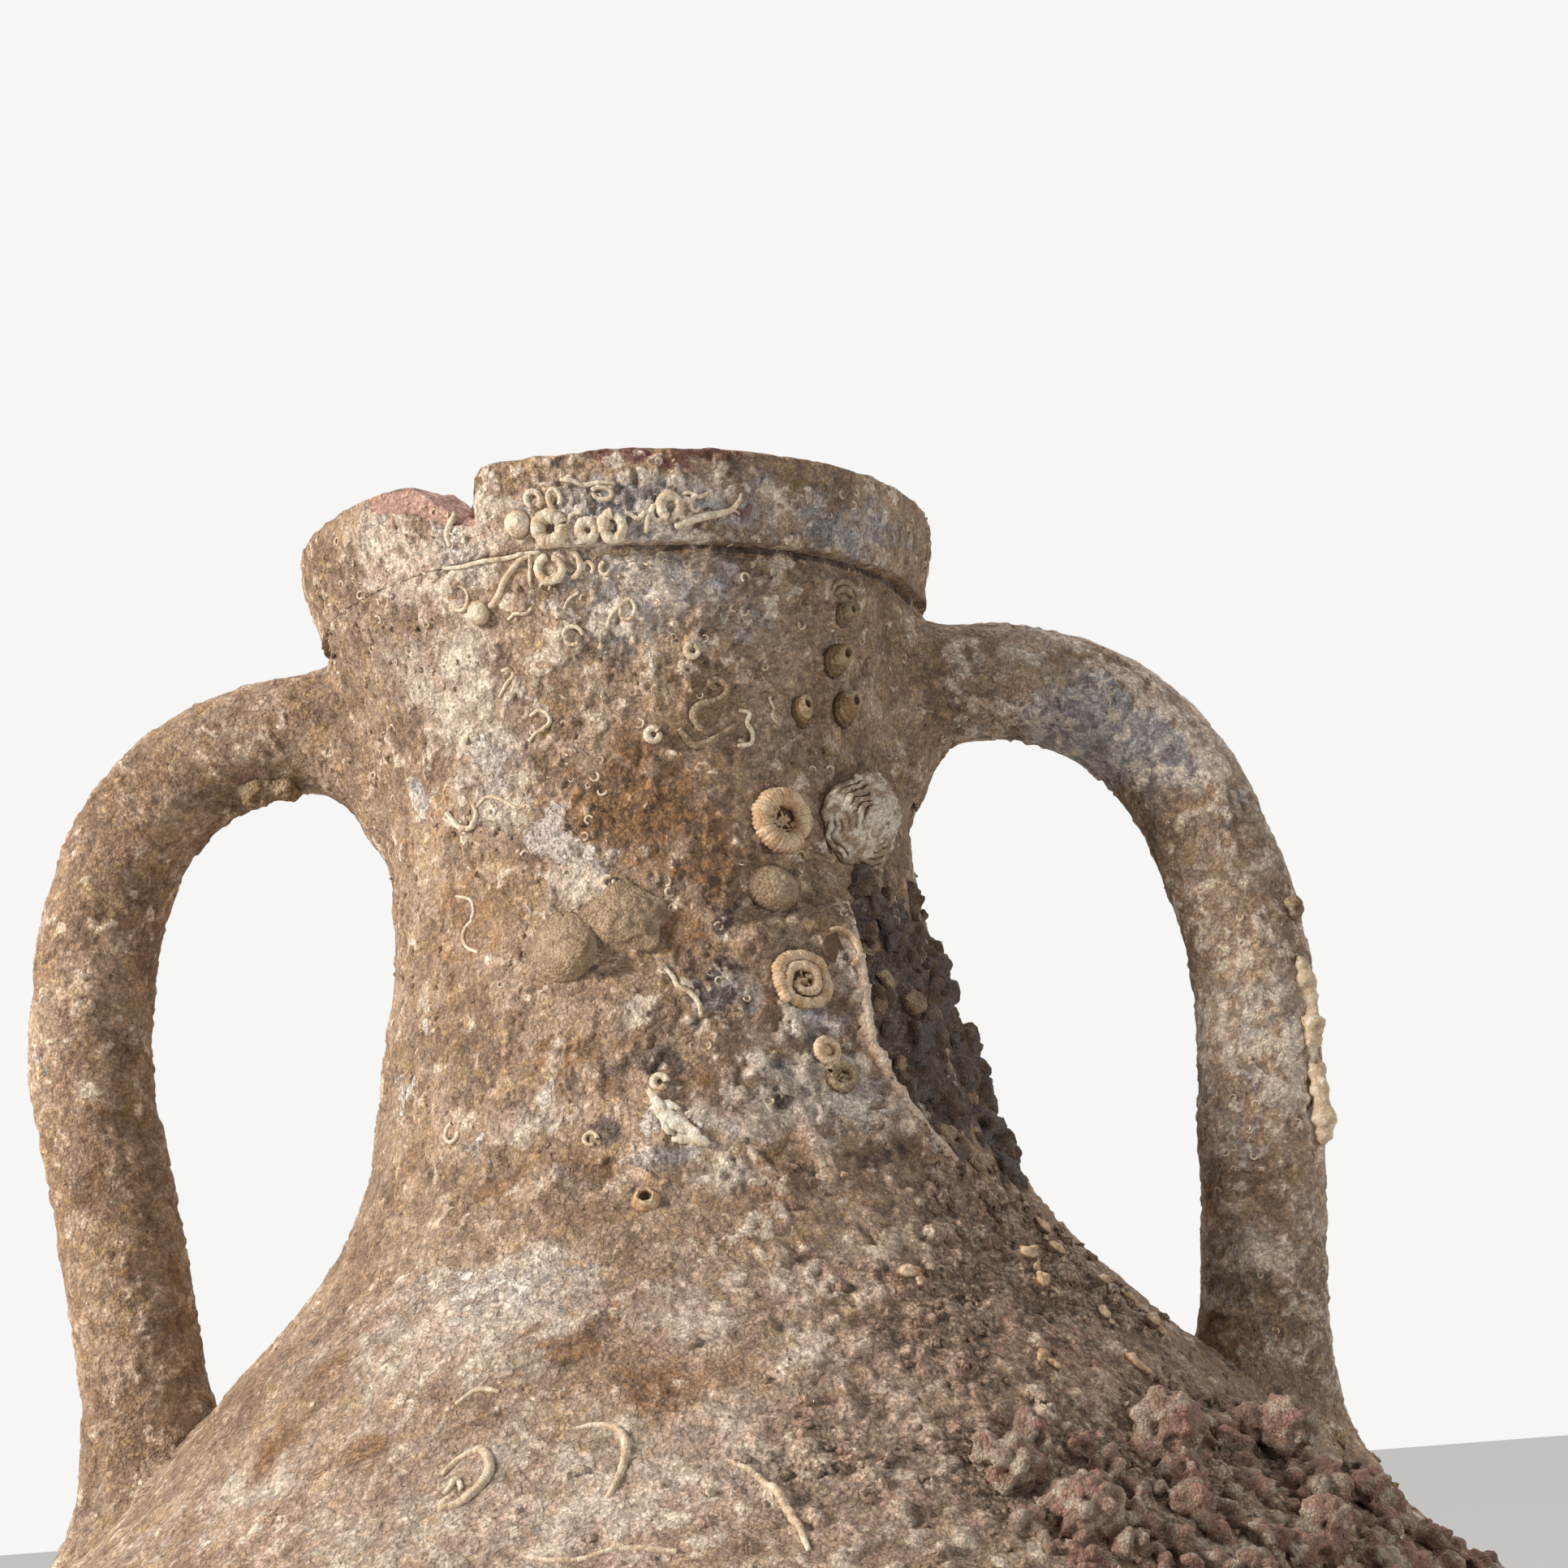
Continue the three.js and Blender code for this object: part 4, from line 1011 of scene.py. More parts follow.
peach_tube = chalk("peach_tube", (210, 184, 152), (188, 152, 114), (92, 70, 54), 0.4, 0.42)
grey_shell = chalk("grey_shell", (232, 218, 198), (172, 146, 120), (88, 70, 56), 0.8, 0.5)
sandy_shell = chalk("sandy_shell", (188, 162, 132), (160, 134, 106), (92, 72, 56), 1.1, 0.6)
cream_worm = chalk("cream_worm", (224, 207, 182), (202, 177, 146), (118, 94, 74), 0.5, 0.38)
silted_shell = chalk("silted_shell", (184, 160, 130), (154, 126, 96), (98, 76, 60), 0.9, 0.75)


def flat_coil(stops, lift, thick, seed, wave=0.0):
    """A coil laid flat: stops are angle, radius; thick runs from the mouth to the middle."""
    stops = np.array(stops, float)
    angles = np.linspace(stops[0, 0], stops[-1, 0], 160)
    radii = np.interp(-angles, -stops[:, 0], stops[:, 1])
    a = np.radians(angles)
    radii = radii * (1 + wave * np.cos(4 * (a - 0.9)))
    high = np.interp(-angles, -stops[:, 0], lift)
    line = np.stack([radii * np.cos(a), radii * np.sin(a), high], axis=1)
    return tube(line, thick, ridge=0.085, pitch=0.85, seed=seed)


def crumbs(radius, size, number, high, seed):
    """Broken scraps of shell in a hollow."""
    chance = np.random.default_rng(seed)
    scraps = []
    for k in range(number):
        a, r = chance.uniform(0, 2 * math.pi), radius * chance.uniform(0, 1)**0.5
        scrap, faces, low = turned([(0.5, -0.4, 0.4), (0.8, 0, 0.1), (0.6, 0.7, 0), (0.2, 0.9, 0)], 8,
                                   (size * chance.uniform(0.5, 1.4), size * chance.uniform(0.25, 0.6)))
        turn = chance.uniform(0, math.pi)
        scrap = scrap @ np.array([[math.cos(turn), math.sin(turn), 0], [-math.sin(turn), math.cos(turn), 0],
                                  [chance.uniform(-0.5, 0.5), chance.uniform(-0.5, 0.5), 1]])
        scraps.append((scrap + [r * math.cos(a), r * math.sin(a), high], faces, low))
    return joined(*scraps)


upper_coil = joined(flat_coil([(292, 5.9), (180, 5.8), (90, 5.7), (0, 5.5), (-50, 5.2), (-78, 4.6)],
                              [1.9, 1.9, 1.8, 1.7, 1.4, 0.9], [2.5, 2.45, 2.4, 2.3, 2.1, 1.7], 1),
                    turned(dome(4.8, 0.4, silt=0.9), 40, bumps=0.25, bump_size=1.2),
                    crumbs(3.0, 1.25, 24, 0.7, 5))
growth("worm_coil_upper_tube", placed(upper_coil, 301.9, 670.4, 8), peach_tube, "tube", "worm_coil_upper")
lower_coil = joined(flat_coil([(232, 6.2), (180, 6.3), (90, 6.2), (0, 6.1), (-90, 5.8), (-150, 5.1),
                               (-190, 4.0), (-270, 3.5), (-360, 3.2), (-450, 3.0), (-520, 2.2)],
                              [1.2, 1.3, 1.4, 1.4, 1.3, 1.3, 1.7, 1.9, 1.9, 1.8, 1.3],
                              [1.35, 1.45, 1.45, 1.4, 1.35, 1.35, 1.3, 1.3, 1.25, 1.2, 1.0], 2, 0.035),
                    turned(dome(5.4, 0.5, silt=0.9), 40, bumps=0.25, bump_size=1.2),
                    turned(dome(1.9, 1.9, silt=0.5), 24, bumps=0.3, bump_size=0.9, seed=3),
                    crumbs(1.8, 0.9, 8, 1.6, 6))
growth("worm_coil_lower_tube", placed(lower_coil, 299.4, 630, -6), peach_tube, "tube", "worm_coil_lower")

# Broken half ring
# A round shell beside the lower coil has lost its left side. Its thin right wall still stands round
# a silted hollow.

arc = np.radians(np.linspace(118, -72, 60))
half_ring = joined(tube(np.stack([4.4 * np.cos(arc), 4.8 * np.sin(arc), 1.1 + 0.4 * np.cos(arc)], axis=1),
                        [0.4, 0.8, 0.95, 0.8, 0.5], mouth=False, squat=0.6, seed=3),
                   turned(dome(4.2, 0.3, silt=1.0), 32, bumps=0.3, bump_size=1.1, seed=2))
growth("half_ring_shell_wall", placed(half_ring, 308.2, 637.4), peach_tube, "tube", "half_ring_shell")

# Granular bump and mound
# Two rounded lumps of cemented sand: one under the upper coil, and a low one beside the limpet.

bump = turned(dome(6.6, 3.9, flat=2.4), 64, (1, 0.92), (0.8, -0.4), bumps=0.35, bump_size=0.9, seed=4)
growth("shell_bump_crust", placed(bump, 297.9, 653.3), sandy_shell, "crust", "shell_bump")
slope = [(9.6 * s, 3.3 * (1 - s * s)**1.5 - 0.5, 0.3 * s) for s in np.linspace(1, 0.02, 26)]
mound = turned([(9.8, -1.2, 0.5), *slope], 96, (1.0, 0.9), (-1.2, 0.4), ribs=5, rib_depth=0.1, bumps=0.95,
               bump_size=1.9, seed=5)
growth("crust_mound_lump", placed(mound, 267.4, 647.4), sandy_shell, "crust", "crust_mound")

# Limpet
# A cone-shaped limpet, worn dull brown and grained like the skin round it, with its blunt tip
# pushed to the lower right.

share = np.linspace(1, 0.03, 40)
# The cone's foot is darkened by its low mark as painted shade where it meets the skin.
cone = [(9.4, -0.9, 1.0), *[(9.2 * s, 9.2 * (1 - s**1.15), 0.5 * s**12) for s in share]]
limpet = turned(cone, 96, (1, 0.97), (7.0, -4.8), ribs=19, rib_depth=0.01, bumps=0.36, bump_size=1.2, seed=6)
growth("limpet_shell", placed(limpet, 254.8, 642.5), sandy_shell, "crust", "limpet")

# Oyster
# A round oyster valve, built of thin overlapping leaves. Its upper edge stands off the neck, and
# its white inside shows where the outer leaves have worn away.


def oyster_part():
    """The valve in rings from its edge to its middle, each leaf a low step, over a buried foot."""
    sides, steps = 150, 96
    a = np.linspace(0, 2 * math.pi, sides, endpoint=False)
    rings, low = [], []
    for s in np.linspace(1, 0.02, steps):
        edge = 1 + 0.035 * np.sin(5 * a + 1) + 0.02 * np.sin(11 * a) + 0.012 * np.sin(23 * a + 2)
        radius = 12.1 * s * edge
        across, along = radius * np.cos(a) * 1.04, radius * np.sin(a) * 1.02
        spot = np.stack([across, along, 0 * a], axis=1)
        leaf = s * 8 + 0.8 * cloud(spot, 6, 81) + 0.3 * cloud(spot, 2.4, 82)
        off_middle = np.abs((spot - [-1, 2.5, 0]) / [6, 5, 1]).sum(axis=1)
        worn = rise_between(cloud(spot + [1.5, -4.5, 0], 7, 83) - 0.25 * off_middle + 0.6, 0.05, 0.35)
        torn = np.abs(cloud(spot @ np.array([[0.8, 0.3, 0], [-0.6, 0.4, 0], [0, 0, 1]]), 1.6, 84))
        high = 2.0 + 5.6 * (1 - s**2.2) + 0.26 * along + 0.14 * across
        high = high + 1.25 * (leaf % 1) * s**0.3 * (1 - 0.6 * worn)
        high += worn * (1.7 * torn - 0.6) + 0.3 * cloud(spot, 1.4, 85)
        rings.append(np.stack([across, along, np.clip(high, 0.3, 9.4)], axis=1))
        # Darker in the seams between the leaves, towards the edge and underneath: silt and painted shade.
        seam = 1 - rise_between(leaf % 1, 0.02, 0.35)
        silt = 0.9 * seam * (1 - worn) + 0.34 + 0.4 * rise_between(s, 0.9, 1.0)
        low.append(np.clip(silt - 0.6 * worn + 0.3 * worn * (torn < 0.15), 0, 1))
    under = []
    for s, dip in ((0.97, 0.9), (0.85, 1.4)):
        ring = rings[0] * [s, s, 1]
        ring[:, 2] -= dip
        under.append(ring)
    buried = rings[0] * [0.8, 0.8, 0]
    buried[:, 2] = -0.9
    points = np.concatenate([buried, under[1], under[0], *rings])
    low = np.concatenate([np.full(3 * sides, 1.0), *low, [1.0, 0.3]])
    return with_ends(points, sides), capped(steps + 3, sides), low


growth("oyster_valve", placed(oyster_part(), 322.4, 671.2), grey_shell, "shell", "oyster")

# Crust plate
# Where a piece of the neck's thick crust fell off, its broken edge stands up like a thin wall. Clay
# and sand bank up to it on the left.

pink_crust = chalk("pink_crust", (222, 200, 178), (202, 172, 146), (120, 94, 76), 0.8, 0.45)


def plate_part():
    """A thin wall along the crust's edge, from a narrow section that is bent and broken along its way."""
    shares = [.5, .95, 1, 1, .95, .9, .7, .4]
    line = through(np.column_stack([crust_edge, shares]), 240)
    rings, low = [], []
    foot, outs = skin(line[:, 0] + 1.2, line[:, 1])
    across = unit(np.stack([-outs[:, 1], outs[:, 0], 0 * outs[:, 2]], axis=1))
    foot = foot - across * 1.5
    spot = np.column_stack([0 * line[:, 0], line[:, 1], line[:, 1]])
    jag = 0.7 * cloud(spot, 5, 91) + 0.5 * cloud(spot, 1.8, 92)
    tall = (6.3 + 0.7 * jag) * line[:, 2]
    thick = 1.25 + 0.2 * cloud(spot, 2.2, 93)
    # The section's third numbers darken it towards its foot: painted shade.
    section = [(-2.4, 0.5, 0.9), (-1.7, 0.8, 0.6), (-1.1, 0.93, 0.3), (-0.6, 1.0, 0.1), (0.1, 1.02, 0.0),
               (0.7, 0.97, 0.0), (1.0, 0.86, 0.1), (0.8, 0.66, 0.3), (0.5, 0.4, 0.6), (0.9, 0.12, 0.8),
               (1.6, -0.15, 1.0), (-1.6, -0.15, 1.0)]
    bend = 0.6 * cloud(spot, 9, 94) + 0.3 * cloud(spot, 3, 95)
    for k in range(len(line)):
        pull = np.array([(w * thick[k] + bend[k] * max(h, 0), h * tall[k], d) for w, h, d in section])
        rings.append(foot[k] + pull[:, :1] * across[k] + pull[:, 1:2] * outs[k])
        low.append(pull[:, 2])
    points, count = np.concatenate(rings), len(section)
    grain = 0.22 * cloud(points, 1.0, 96) + 0.12 * cloud(points, 0.5, 97)
    points = points + np.repeat(outs, count, axis=0) * grain[:, None]
    return with_ends(points, count), capped(len(rings), count), np.concatenate([*low, [0.5, 0.5]])


growth("crust_plate_edge", plate_part(), pink_crust, "shell", "crust_plate")

# Ring shells and front barnacle
# Two small round shells lie one above the other near the crust's edge, and a barnacle sits low on
# the neck. Their tops are gone and silt fills them.

a = np.radians(np.linspace(60, 418, 90))
ring_high = joined(tube(np.stack([2.3 * np.cos(a), 2.6 * np.sin(a), 0 * a + 0.8], axis=1),
                        [1.0, 1.1, 1.0, 0.9], seed=7),
                   turned(dome(2.2, 0.7), 24, bumps=0.25, bump_size=0.8, seed=7))
growth("ring_shell_upper_wall", placed(ring_high, 300.7, 612.6), peach_tube, "shell", "ring_shell_upper")
a = np.radians(np.linspace(150, -170, 90))
ring_low = joined(tube(np.stack([2.9 * np.cos(a), 2.8 * np.sin(a), 0 * a + 1.2], axis=1),
                       [1.0, 1.2, 1.3, 1.1, 0.8], seed=8),
                  turned(dome(3.4, 0.9), 28, bumps=0.4, bump_size=1.0, seed=8), crumbs(1.6, 1.3, 5, 1.2, 9))
growth("ring_shell_lower_wall", placed(ring_low, 302.0, 606.2), silted_shell, "shell", "ring_shell_lower")

acorn = [(3.6, -0.8, 1.0), (3.4, 0.1, 0.7), (3.0, 0.9, 0.4), (2.5, 1.9, 0.2), (2.1, 2.5, 0.0),
         (1.85, 2.75, 0.0), (1.6, 2.6, 0.2), (1.45, 1.8, 0.9), (1.2, 1.0, 1.0), (0.5, 0.8, 1.0),
         (0.1, 0.8, 1.0)]
growth("barnacle_front_wall",
       placed(turned(acorn, 48, (1.0, 0.9), ribs=6, rib_depth=0.06, bumps=0.2, bump_size=0.9, seed=9),
              267.4, 581.2), peach_tube, "shell", "barnacle_front")

# Worm tubes on the collar
# Many small sea worms settled along the collar's front. Their tubes curl into rings, loops and
# wavy lines, and one longer tube wanders off below the break to a small ball.


def ring_worm(turn, z, radius, thick, start, sweep, seed, oval=1.0, spin=0):
    """A small tube curled once round, from an angle on through its sweep."""
    a = np.radians(np.linspace(start, start + sweep, 60))
    shrink = np.linspace(1, 0.86, 60)
    line = np.stack([radius * shrink * np.cos(a), radius * oval * shrink * np.sin(a), 0 * a + thick * 0.5],
                    axis=1)
    return placed(tube(line, [thick, thick * 1.05, thick * 0.85], ridge=0.1, seed=seed), turn, z, spin)


collar_worms = joined(
    ring_worm(263.0, 741.2, 3.2, 1.75, 20, 350, 11), ring_worm(269.3, 740.0, 2.1, 1.25, 200, -370, 12),
    ring_worm(273.6, 740.3, 2.5, 1.35, 90, 345, 13, 1.25),
    ring_worm(283.4, 744.6, 2.4, 1.25, 250, -330, 14, 1.15),
    ring_worm(285.9, 743.8, 1.5, 0.9, 40, 300, 19, 1.7), ring_worm(287.6, 745.0, 1.2, 0.6, 90, 250, 9, 1.4),
    ring_worm(261.0, 748.4, 1.9, 0.75, 300, 300, 15, 1.1),
    ring_worm(264.5, 748.0, 1.6, 0.6, 250, -300, 16, 1.5),
    ring_worm(272.4, 748.2, 2.5, 0.55, 160, -330, 17, 0.62, -8),
    ring_worm(281.2, 743.0, 1.6, 0.65, 60, 290, 18, 1.2),
    placed(turned(dome(3.5, 2.6), 40, bumps=0.45, bump_size=1.0, seed=10), 257.7, 743.3),
    on_skin([(284.2, 740.0), (285.8, 740.9), (287.8, 742.0), (290.2, 742.7), (292.2, 743.3),
             (294, 744.2), (295.3, 746.2), (295.8, 748.2)], [0.95, 1.1, 1.0, 0.85, 0.7, 0.5], seed=20),
    on_skin([(280.7, 744.9), (279.6, 742.4), (279.2, 740.2), (278.9, 738.6)], [0.7, 0.65, 0.5], seed=21),
    on_skin([(266.0, 752.2), (268.0, 751.6), (269.5, 750.6), (272.3, 750.8), (274.6, 750.2)],
            [0.5, 0.6, 0.55, 0.4], seed=22),
    on_skin([(274.9, 741.5), (276.3, 743.3), (277.8, 742.0), (279.4, 743.4), (280.6, 742.2)],
            [0.5, 0.6, 0.45], seed=23),
    on_skin([(285.0, 746.6), (286.6, 747.9), (288.4, 746.9), (290.1, 747.9)], [0.45, 0.55, 0.4], seed=24),
    on_skin([(265.9, 741.6), (266.9, 743.9), (268.6, 744.3)], [0.5, 0.5], seed=25))
growth("collar_tubes", collar_worms, cream_worm, "tube", "collar_tube_cluster")

wandering = joined(
    on_skin([(249.2, 726.0), (250.6, 726.9), (251.9, 728.6), (253.5, 731.4), (255.7, 734.0), (258.4, 736.2)],
            [0.75, 0.85, 0.8, 0.7, 0.5], mouth=False, seed=26),
    on_skin([(244.4, 741.4), (244.6, 744.2), (245.9, 747.0), (247.0, 748.6)], [0.6, 0.75, 0.6], seed=27),
    placed(turned(dome(3.2, 2.9, flat=3), 40, bumps=0.3, bump_size=1.1, seed=11), 246.7, 725.2))
growth("collar_tube_left_worm", wandering, cream_worm, "tube", "collar_tube_left")

# Worm tube on the neck
# One thin tube winds in an S on the right of the upper neck, half buried in the crust.

winding = joined(on_skin([(289.9, 702.3), (289.0, 703.6), (290.5, 704.5), (292.2, 702.9), (291.7, 700.4),
                          (289.5, 699.0), (286.6, 698.3), (285.1, 696.4), (285.7, 693.6), (287.6, 691.6)],
                         [0.8, 0.95, 1.0, 0.95, 0.8], seed=28),
                 on_skin([(282.4, 692.8), (283.2, 690.4), (284.6, 688.8), (287.0, 689.0), (289.6, 690.5),
                          (291.8, 692.0), (293.6, 693.6)], [0.9, 1.0, 0.9, 0.7], seed=29))
growth("worm_tube_neck_line", winding, sandy_shell, "tube", "worm_tube_neck")

# Little worms and scars
# Dozens of smaller worms left hair-fine lines, loops and rings all over the neck and shoulder. Most
# are half worn away, so their scars stand barely proud of the skin.

little_worms = joined(
    ring_worm(261.9, 732.4, 3.1, 0.95, 100, 330, 41), ring_worm(265.3, 732.8, 2.6, 0.7, 100, -190, 42, 1.3),
    ring_worm(268.4, 731.8, 1.3, 0.55, 200, -260, 43, 1.2),
    ring_worm(271.3, 731.4, 1.2, 0.5, 90, 250, 44, 1.3),
    on_skin([(242.0, 737.0), (245.9, 736.2),
             (249.9, 736.4), (253.7, 736.2), (257.3, 736.6), (260.4, 736.6)], [0.45, 0.6, 0.5], seed=45),
    on_skin([(258.6, 736.2), (258.4, 733.6), (258.0, 730.8), (257.9, 728.8)], [0.5, 0.4], seed=46),
    on_skin([(270.4, 717.6), (271.5, 720.6), (273.4, 722.6), (275.0, 723.9), (275.9, 721.6),
             (274.5, 719.2), (273.3, 719.6), (273.2, 722.0)], [0.4, 0.5, 0.45], lift=0.3, seed=47),
    on_skin([(251.9, 693.1), (253.2, 694.5), (255.2, 695.4), (256.8, 697.0), (256.4, 699.1),
             (254.8, 700.1), (253.0, 699.0)], [0.4, 0.5, 0.45], lift=0.25, seed=48),
    on_skin([(247.0, 704.8), (249.0, 707.6), (250.8, 709.6), (250.2, 711.0), (248.5, 710.8)],
            [0.4, 0.5, 0.4], lift=0.3, seed=49),
    on_skin([(229.4, 680.2), (231.1, 677.6),
             (233.2, 675.5), (235.6, 675.4), (237.0, 678.0), (236.6, 680.8)], [0.6, 0.75, 0.6], seed=50),
    on_skin([(237.4, 680.0), (240.3, 681.8), (243.5, 680.6), (247.2, 677.6)],
            [0.4, 0.45, 0.35], lift=0.3, seed=51),
    on_skin([(229.1, 659.4), (233.2, 657.6), (234.0, 654.4), (231.2, 650.4),
             (231.6, 646.6), (235.4, 644.2)], [0.35, 0.5, 0.4], lift=0.3, seed=52),
    on_skin([(273.6, 635.4), (275.3, 632.6), (276.1, 629.8),
             (278.0, 628.4), (279.2, 625.8), (279.4, 622.6)], [0.5, 0.65, 0.5], seed=53),
    on_skin([(252.0, 722.4), (253.8, 723.4), (255.8, 723.0), (257.2, 724.2)], [0.35, 0.45, 0.35], lift=0.3,
            seed=54),
    on_skin([(301.0, 700.6), (302.2, 698.0), (301.4, 696.0), (302.6, 694.4)], [0.35, 0.45, 0.3],
            lift=0.4, seed=55),
    on_skin([(294.4, 697.2), (296.6, 696.4),
             (296.0, 694.2), (297.0, 691.6), (296.4, 689.0), (293.6, 688.4)], [0.5, 0.6, 0.45], seed=56),
    on_skin([(310.4, 614.8), (311.0, 617.4), (309.9, 619.6), (311.2, 621.0)], [0.6, 0.7, 0.6], seed=57),
    on_skin([(263.0, 722.8), (264.4, 725.2), (266.2, 726.4)], [0.35, 0.4], lift=0.3, seed=58),
    ring_worm(264.9, 656.6, 1.5, 0.6, 60, 320, 59), ring_worm(264.0, 716.4, 2.4, 0.5, 0, 300, 60),
    ring_worm(276.8, 691.4, 1.6, 0.8, 40, 330, 61), ring_worm(285.6, 711.2, 1.5, 0.75, 100, 330, 62),
    ring_worm(243.6, 729.6, 2.6, 0.4, 220, 250, 63, 1.2), ring_worm(231.4, 601.2, 2.4, 0.5, 100, 260, 64),
    ring_worm(258.6, 596.4, 1.6, 0.5, 0, 300, 65), ring_worm(271.0, 607.5, 1.6, 0.8, 0, 320, 66))

white_chalk = chalk("white_chalk", (232, 220, 200), (206, 188, 162), (120, 98, 80), 0.6, 0.3)


def splinters(places, high, seed):
    """Broken leaves of shell at their own slants. A row is a turn, height, spin, length and width."""
    chance = np.random.default_rng(seed)
    leaves = []
    for turn, z, spin, long, wide in places:
        leaf = turned([(1.0, -0.5, 0.8), (1.02, 0.1, 0.3), (0.9, 0.5, 0.0), (0.6, 0.75, 0.0),
                       (0.2, 0.85, 0.0)], 26, (long, wide), (0.2 * long, 0), ribs=7, rib_depth=0.09,
                      bumps=0.5, bump_size=1.1, seed=seed + len(leaves))
        points, faces, low = leaf
        slant = points[:, 0] * chance.uniform(-0.12, 0.12) + points[:, 1] * chance.uniform(-0.35, 0.35)
        points = points + np.outer(slant, [0, 0, 1])
        leaves.append(placed((points * [1, 1, high], faces, low), turn, z, spin))
    return joined(*leaves)


white_scrap = splinters([(270.0, 603.8, -62, 3.4, 1.2), (271.2, 600.8, -52, 3.6, 2.0),
                         (273.0, 598.4, -48, 3.8, 2.3), (274.6, 595.6, -42, 3.4, 2.2),
                         (271.6, 597.4, -70, 2.4, 1.4), (276.4, 593.6, -25, 2.4, 1.3),
                         (273.4, 594.6, -10, 2.2, 1.2), (272.4, 602.4, -30, 2.2, 1.0)], 1.1, 90)
growth("neck_white_shell", white_scrap, white_chalk, "shell")

hollow_scraps = splinters([(319.6, 640.5, 75, 4.2, 3.6), (323.4, 633.0, 110, 4.4, 3.4),
                           (319.4, 626.0, 60, 3.0, 2.4), (328.0, 626.0, 30, 3.8, 3.0),
                           (320.0, 610.5, 70, 2.4, 2.0)], 2.2, 120)
growth("hollow_shell_scraps", hollow_scraps, silted_shell, "shell", silt=0.2)

growth("neck_little_worms", little_worms, cream_worm, "tube")

shoulder_scars = joined(
    on_skin([(249.6, 527.6), (251.0, 530.6), (252.8, 531.8), (254.1, 529.2), (253.9, 525.6), (252.6, 522.8),
             (250.8, 521.2)], [0.5, 0.9, 1.1, 0.8], lift=0.25, mouth=False, seed=71),
    on_skin([(250.6, 524.0), (251.4, 526.6), (252.2, 524.8)], [0.6, 0.7, 0.5],
            lift=0.3, mouth=False, seed=72),
    on_skin([(261.4, 534.6), (263.4, 535.1), (265.4, 534.2), (266.4, 531.8), (266.5, 528.8),
             (266.1, 524.8), (265.4, 521.6)], [0.4, 0.6, 0.9, 0.8, 0.5], lift=0.25, mouth=False, seed=73),
    on_skin([(275.4, 526.4), (277.4, 523.6), (278.9, 519.4), (280.0, 514.4), (280.4, 510.0)],
            [0.4, 0.8, 0.9, 0.5], lift=0.25, mouth=False, seed=74),
    on_skin([(259.4, 512.4), (263.0, 511.4), (267.0, 512.6), (271.0, 511.6)],
            [0.4, 0.6, 0.5], lift=0.2, mouth=False, seed=75),
    on_skin([(248.4, 541.0), (250.4, 543.6), (252.8, 543.0)], [0.4, 0.6, 0.4], lift=0.2, seed=76))
growth("shoulder_shell_scars", shoulder_scars, cream_worm, "shell", silt=0.1)


def read_back(mesh, kind):
    """A mesh's places ("co") or ways out ("normal"), one row to a point."""
    values = np.empty(len(mesh.vertices) * 3)
    mesh.vertices.foreach_get(kind, values)
    return values.reshape(-1, 3)


def settled(piece):
    """The mesh that a piece's modifiers make. The modifiers go."""
    mesh = bpy.data.meshes.new_from_object(piece.evaluated_get(bpy.context.evaluated_depsgraph_get()))
    piece.modifiers.clear()
    return mesh


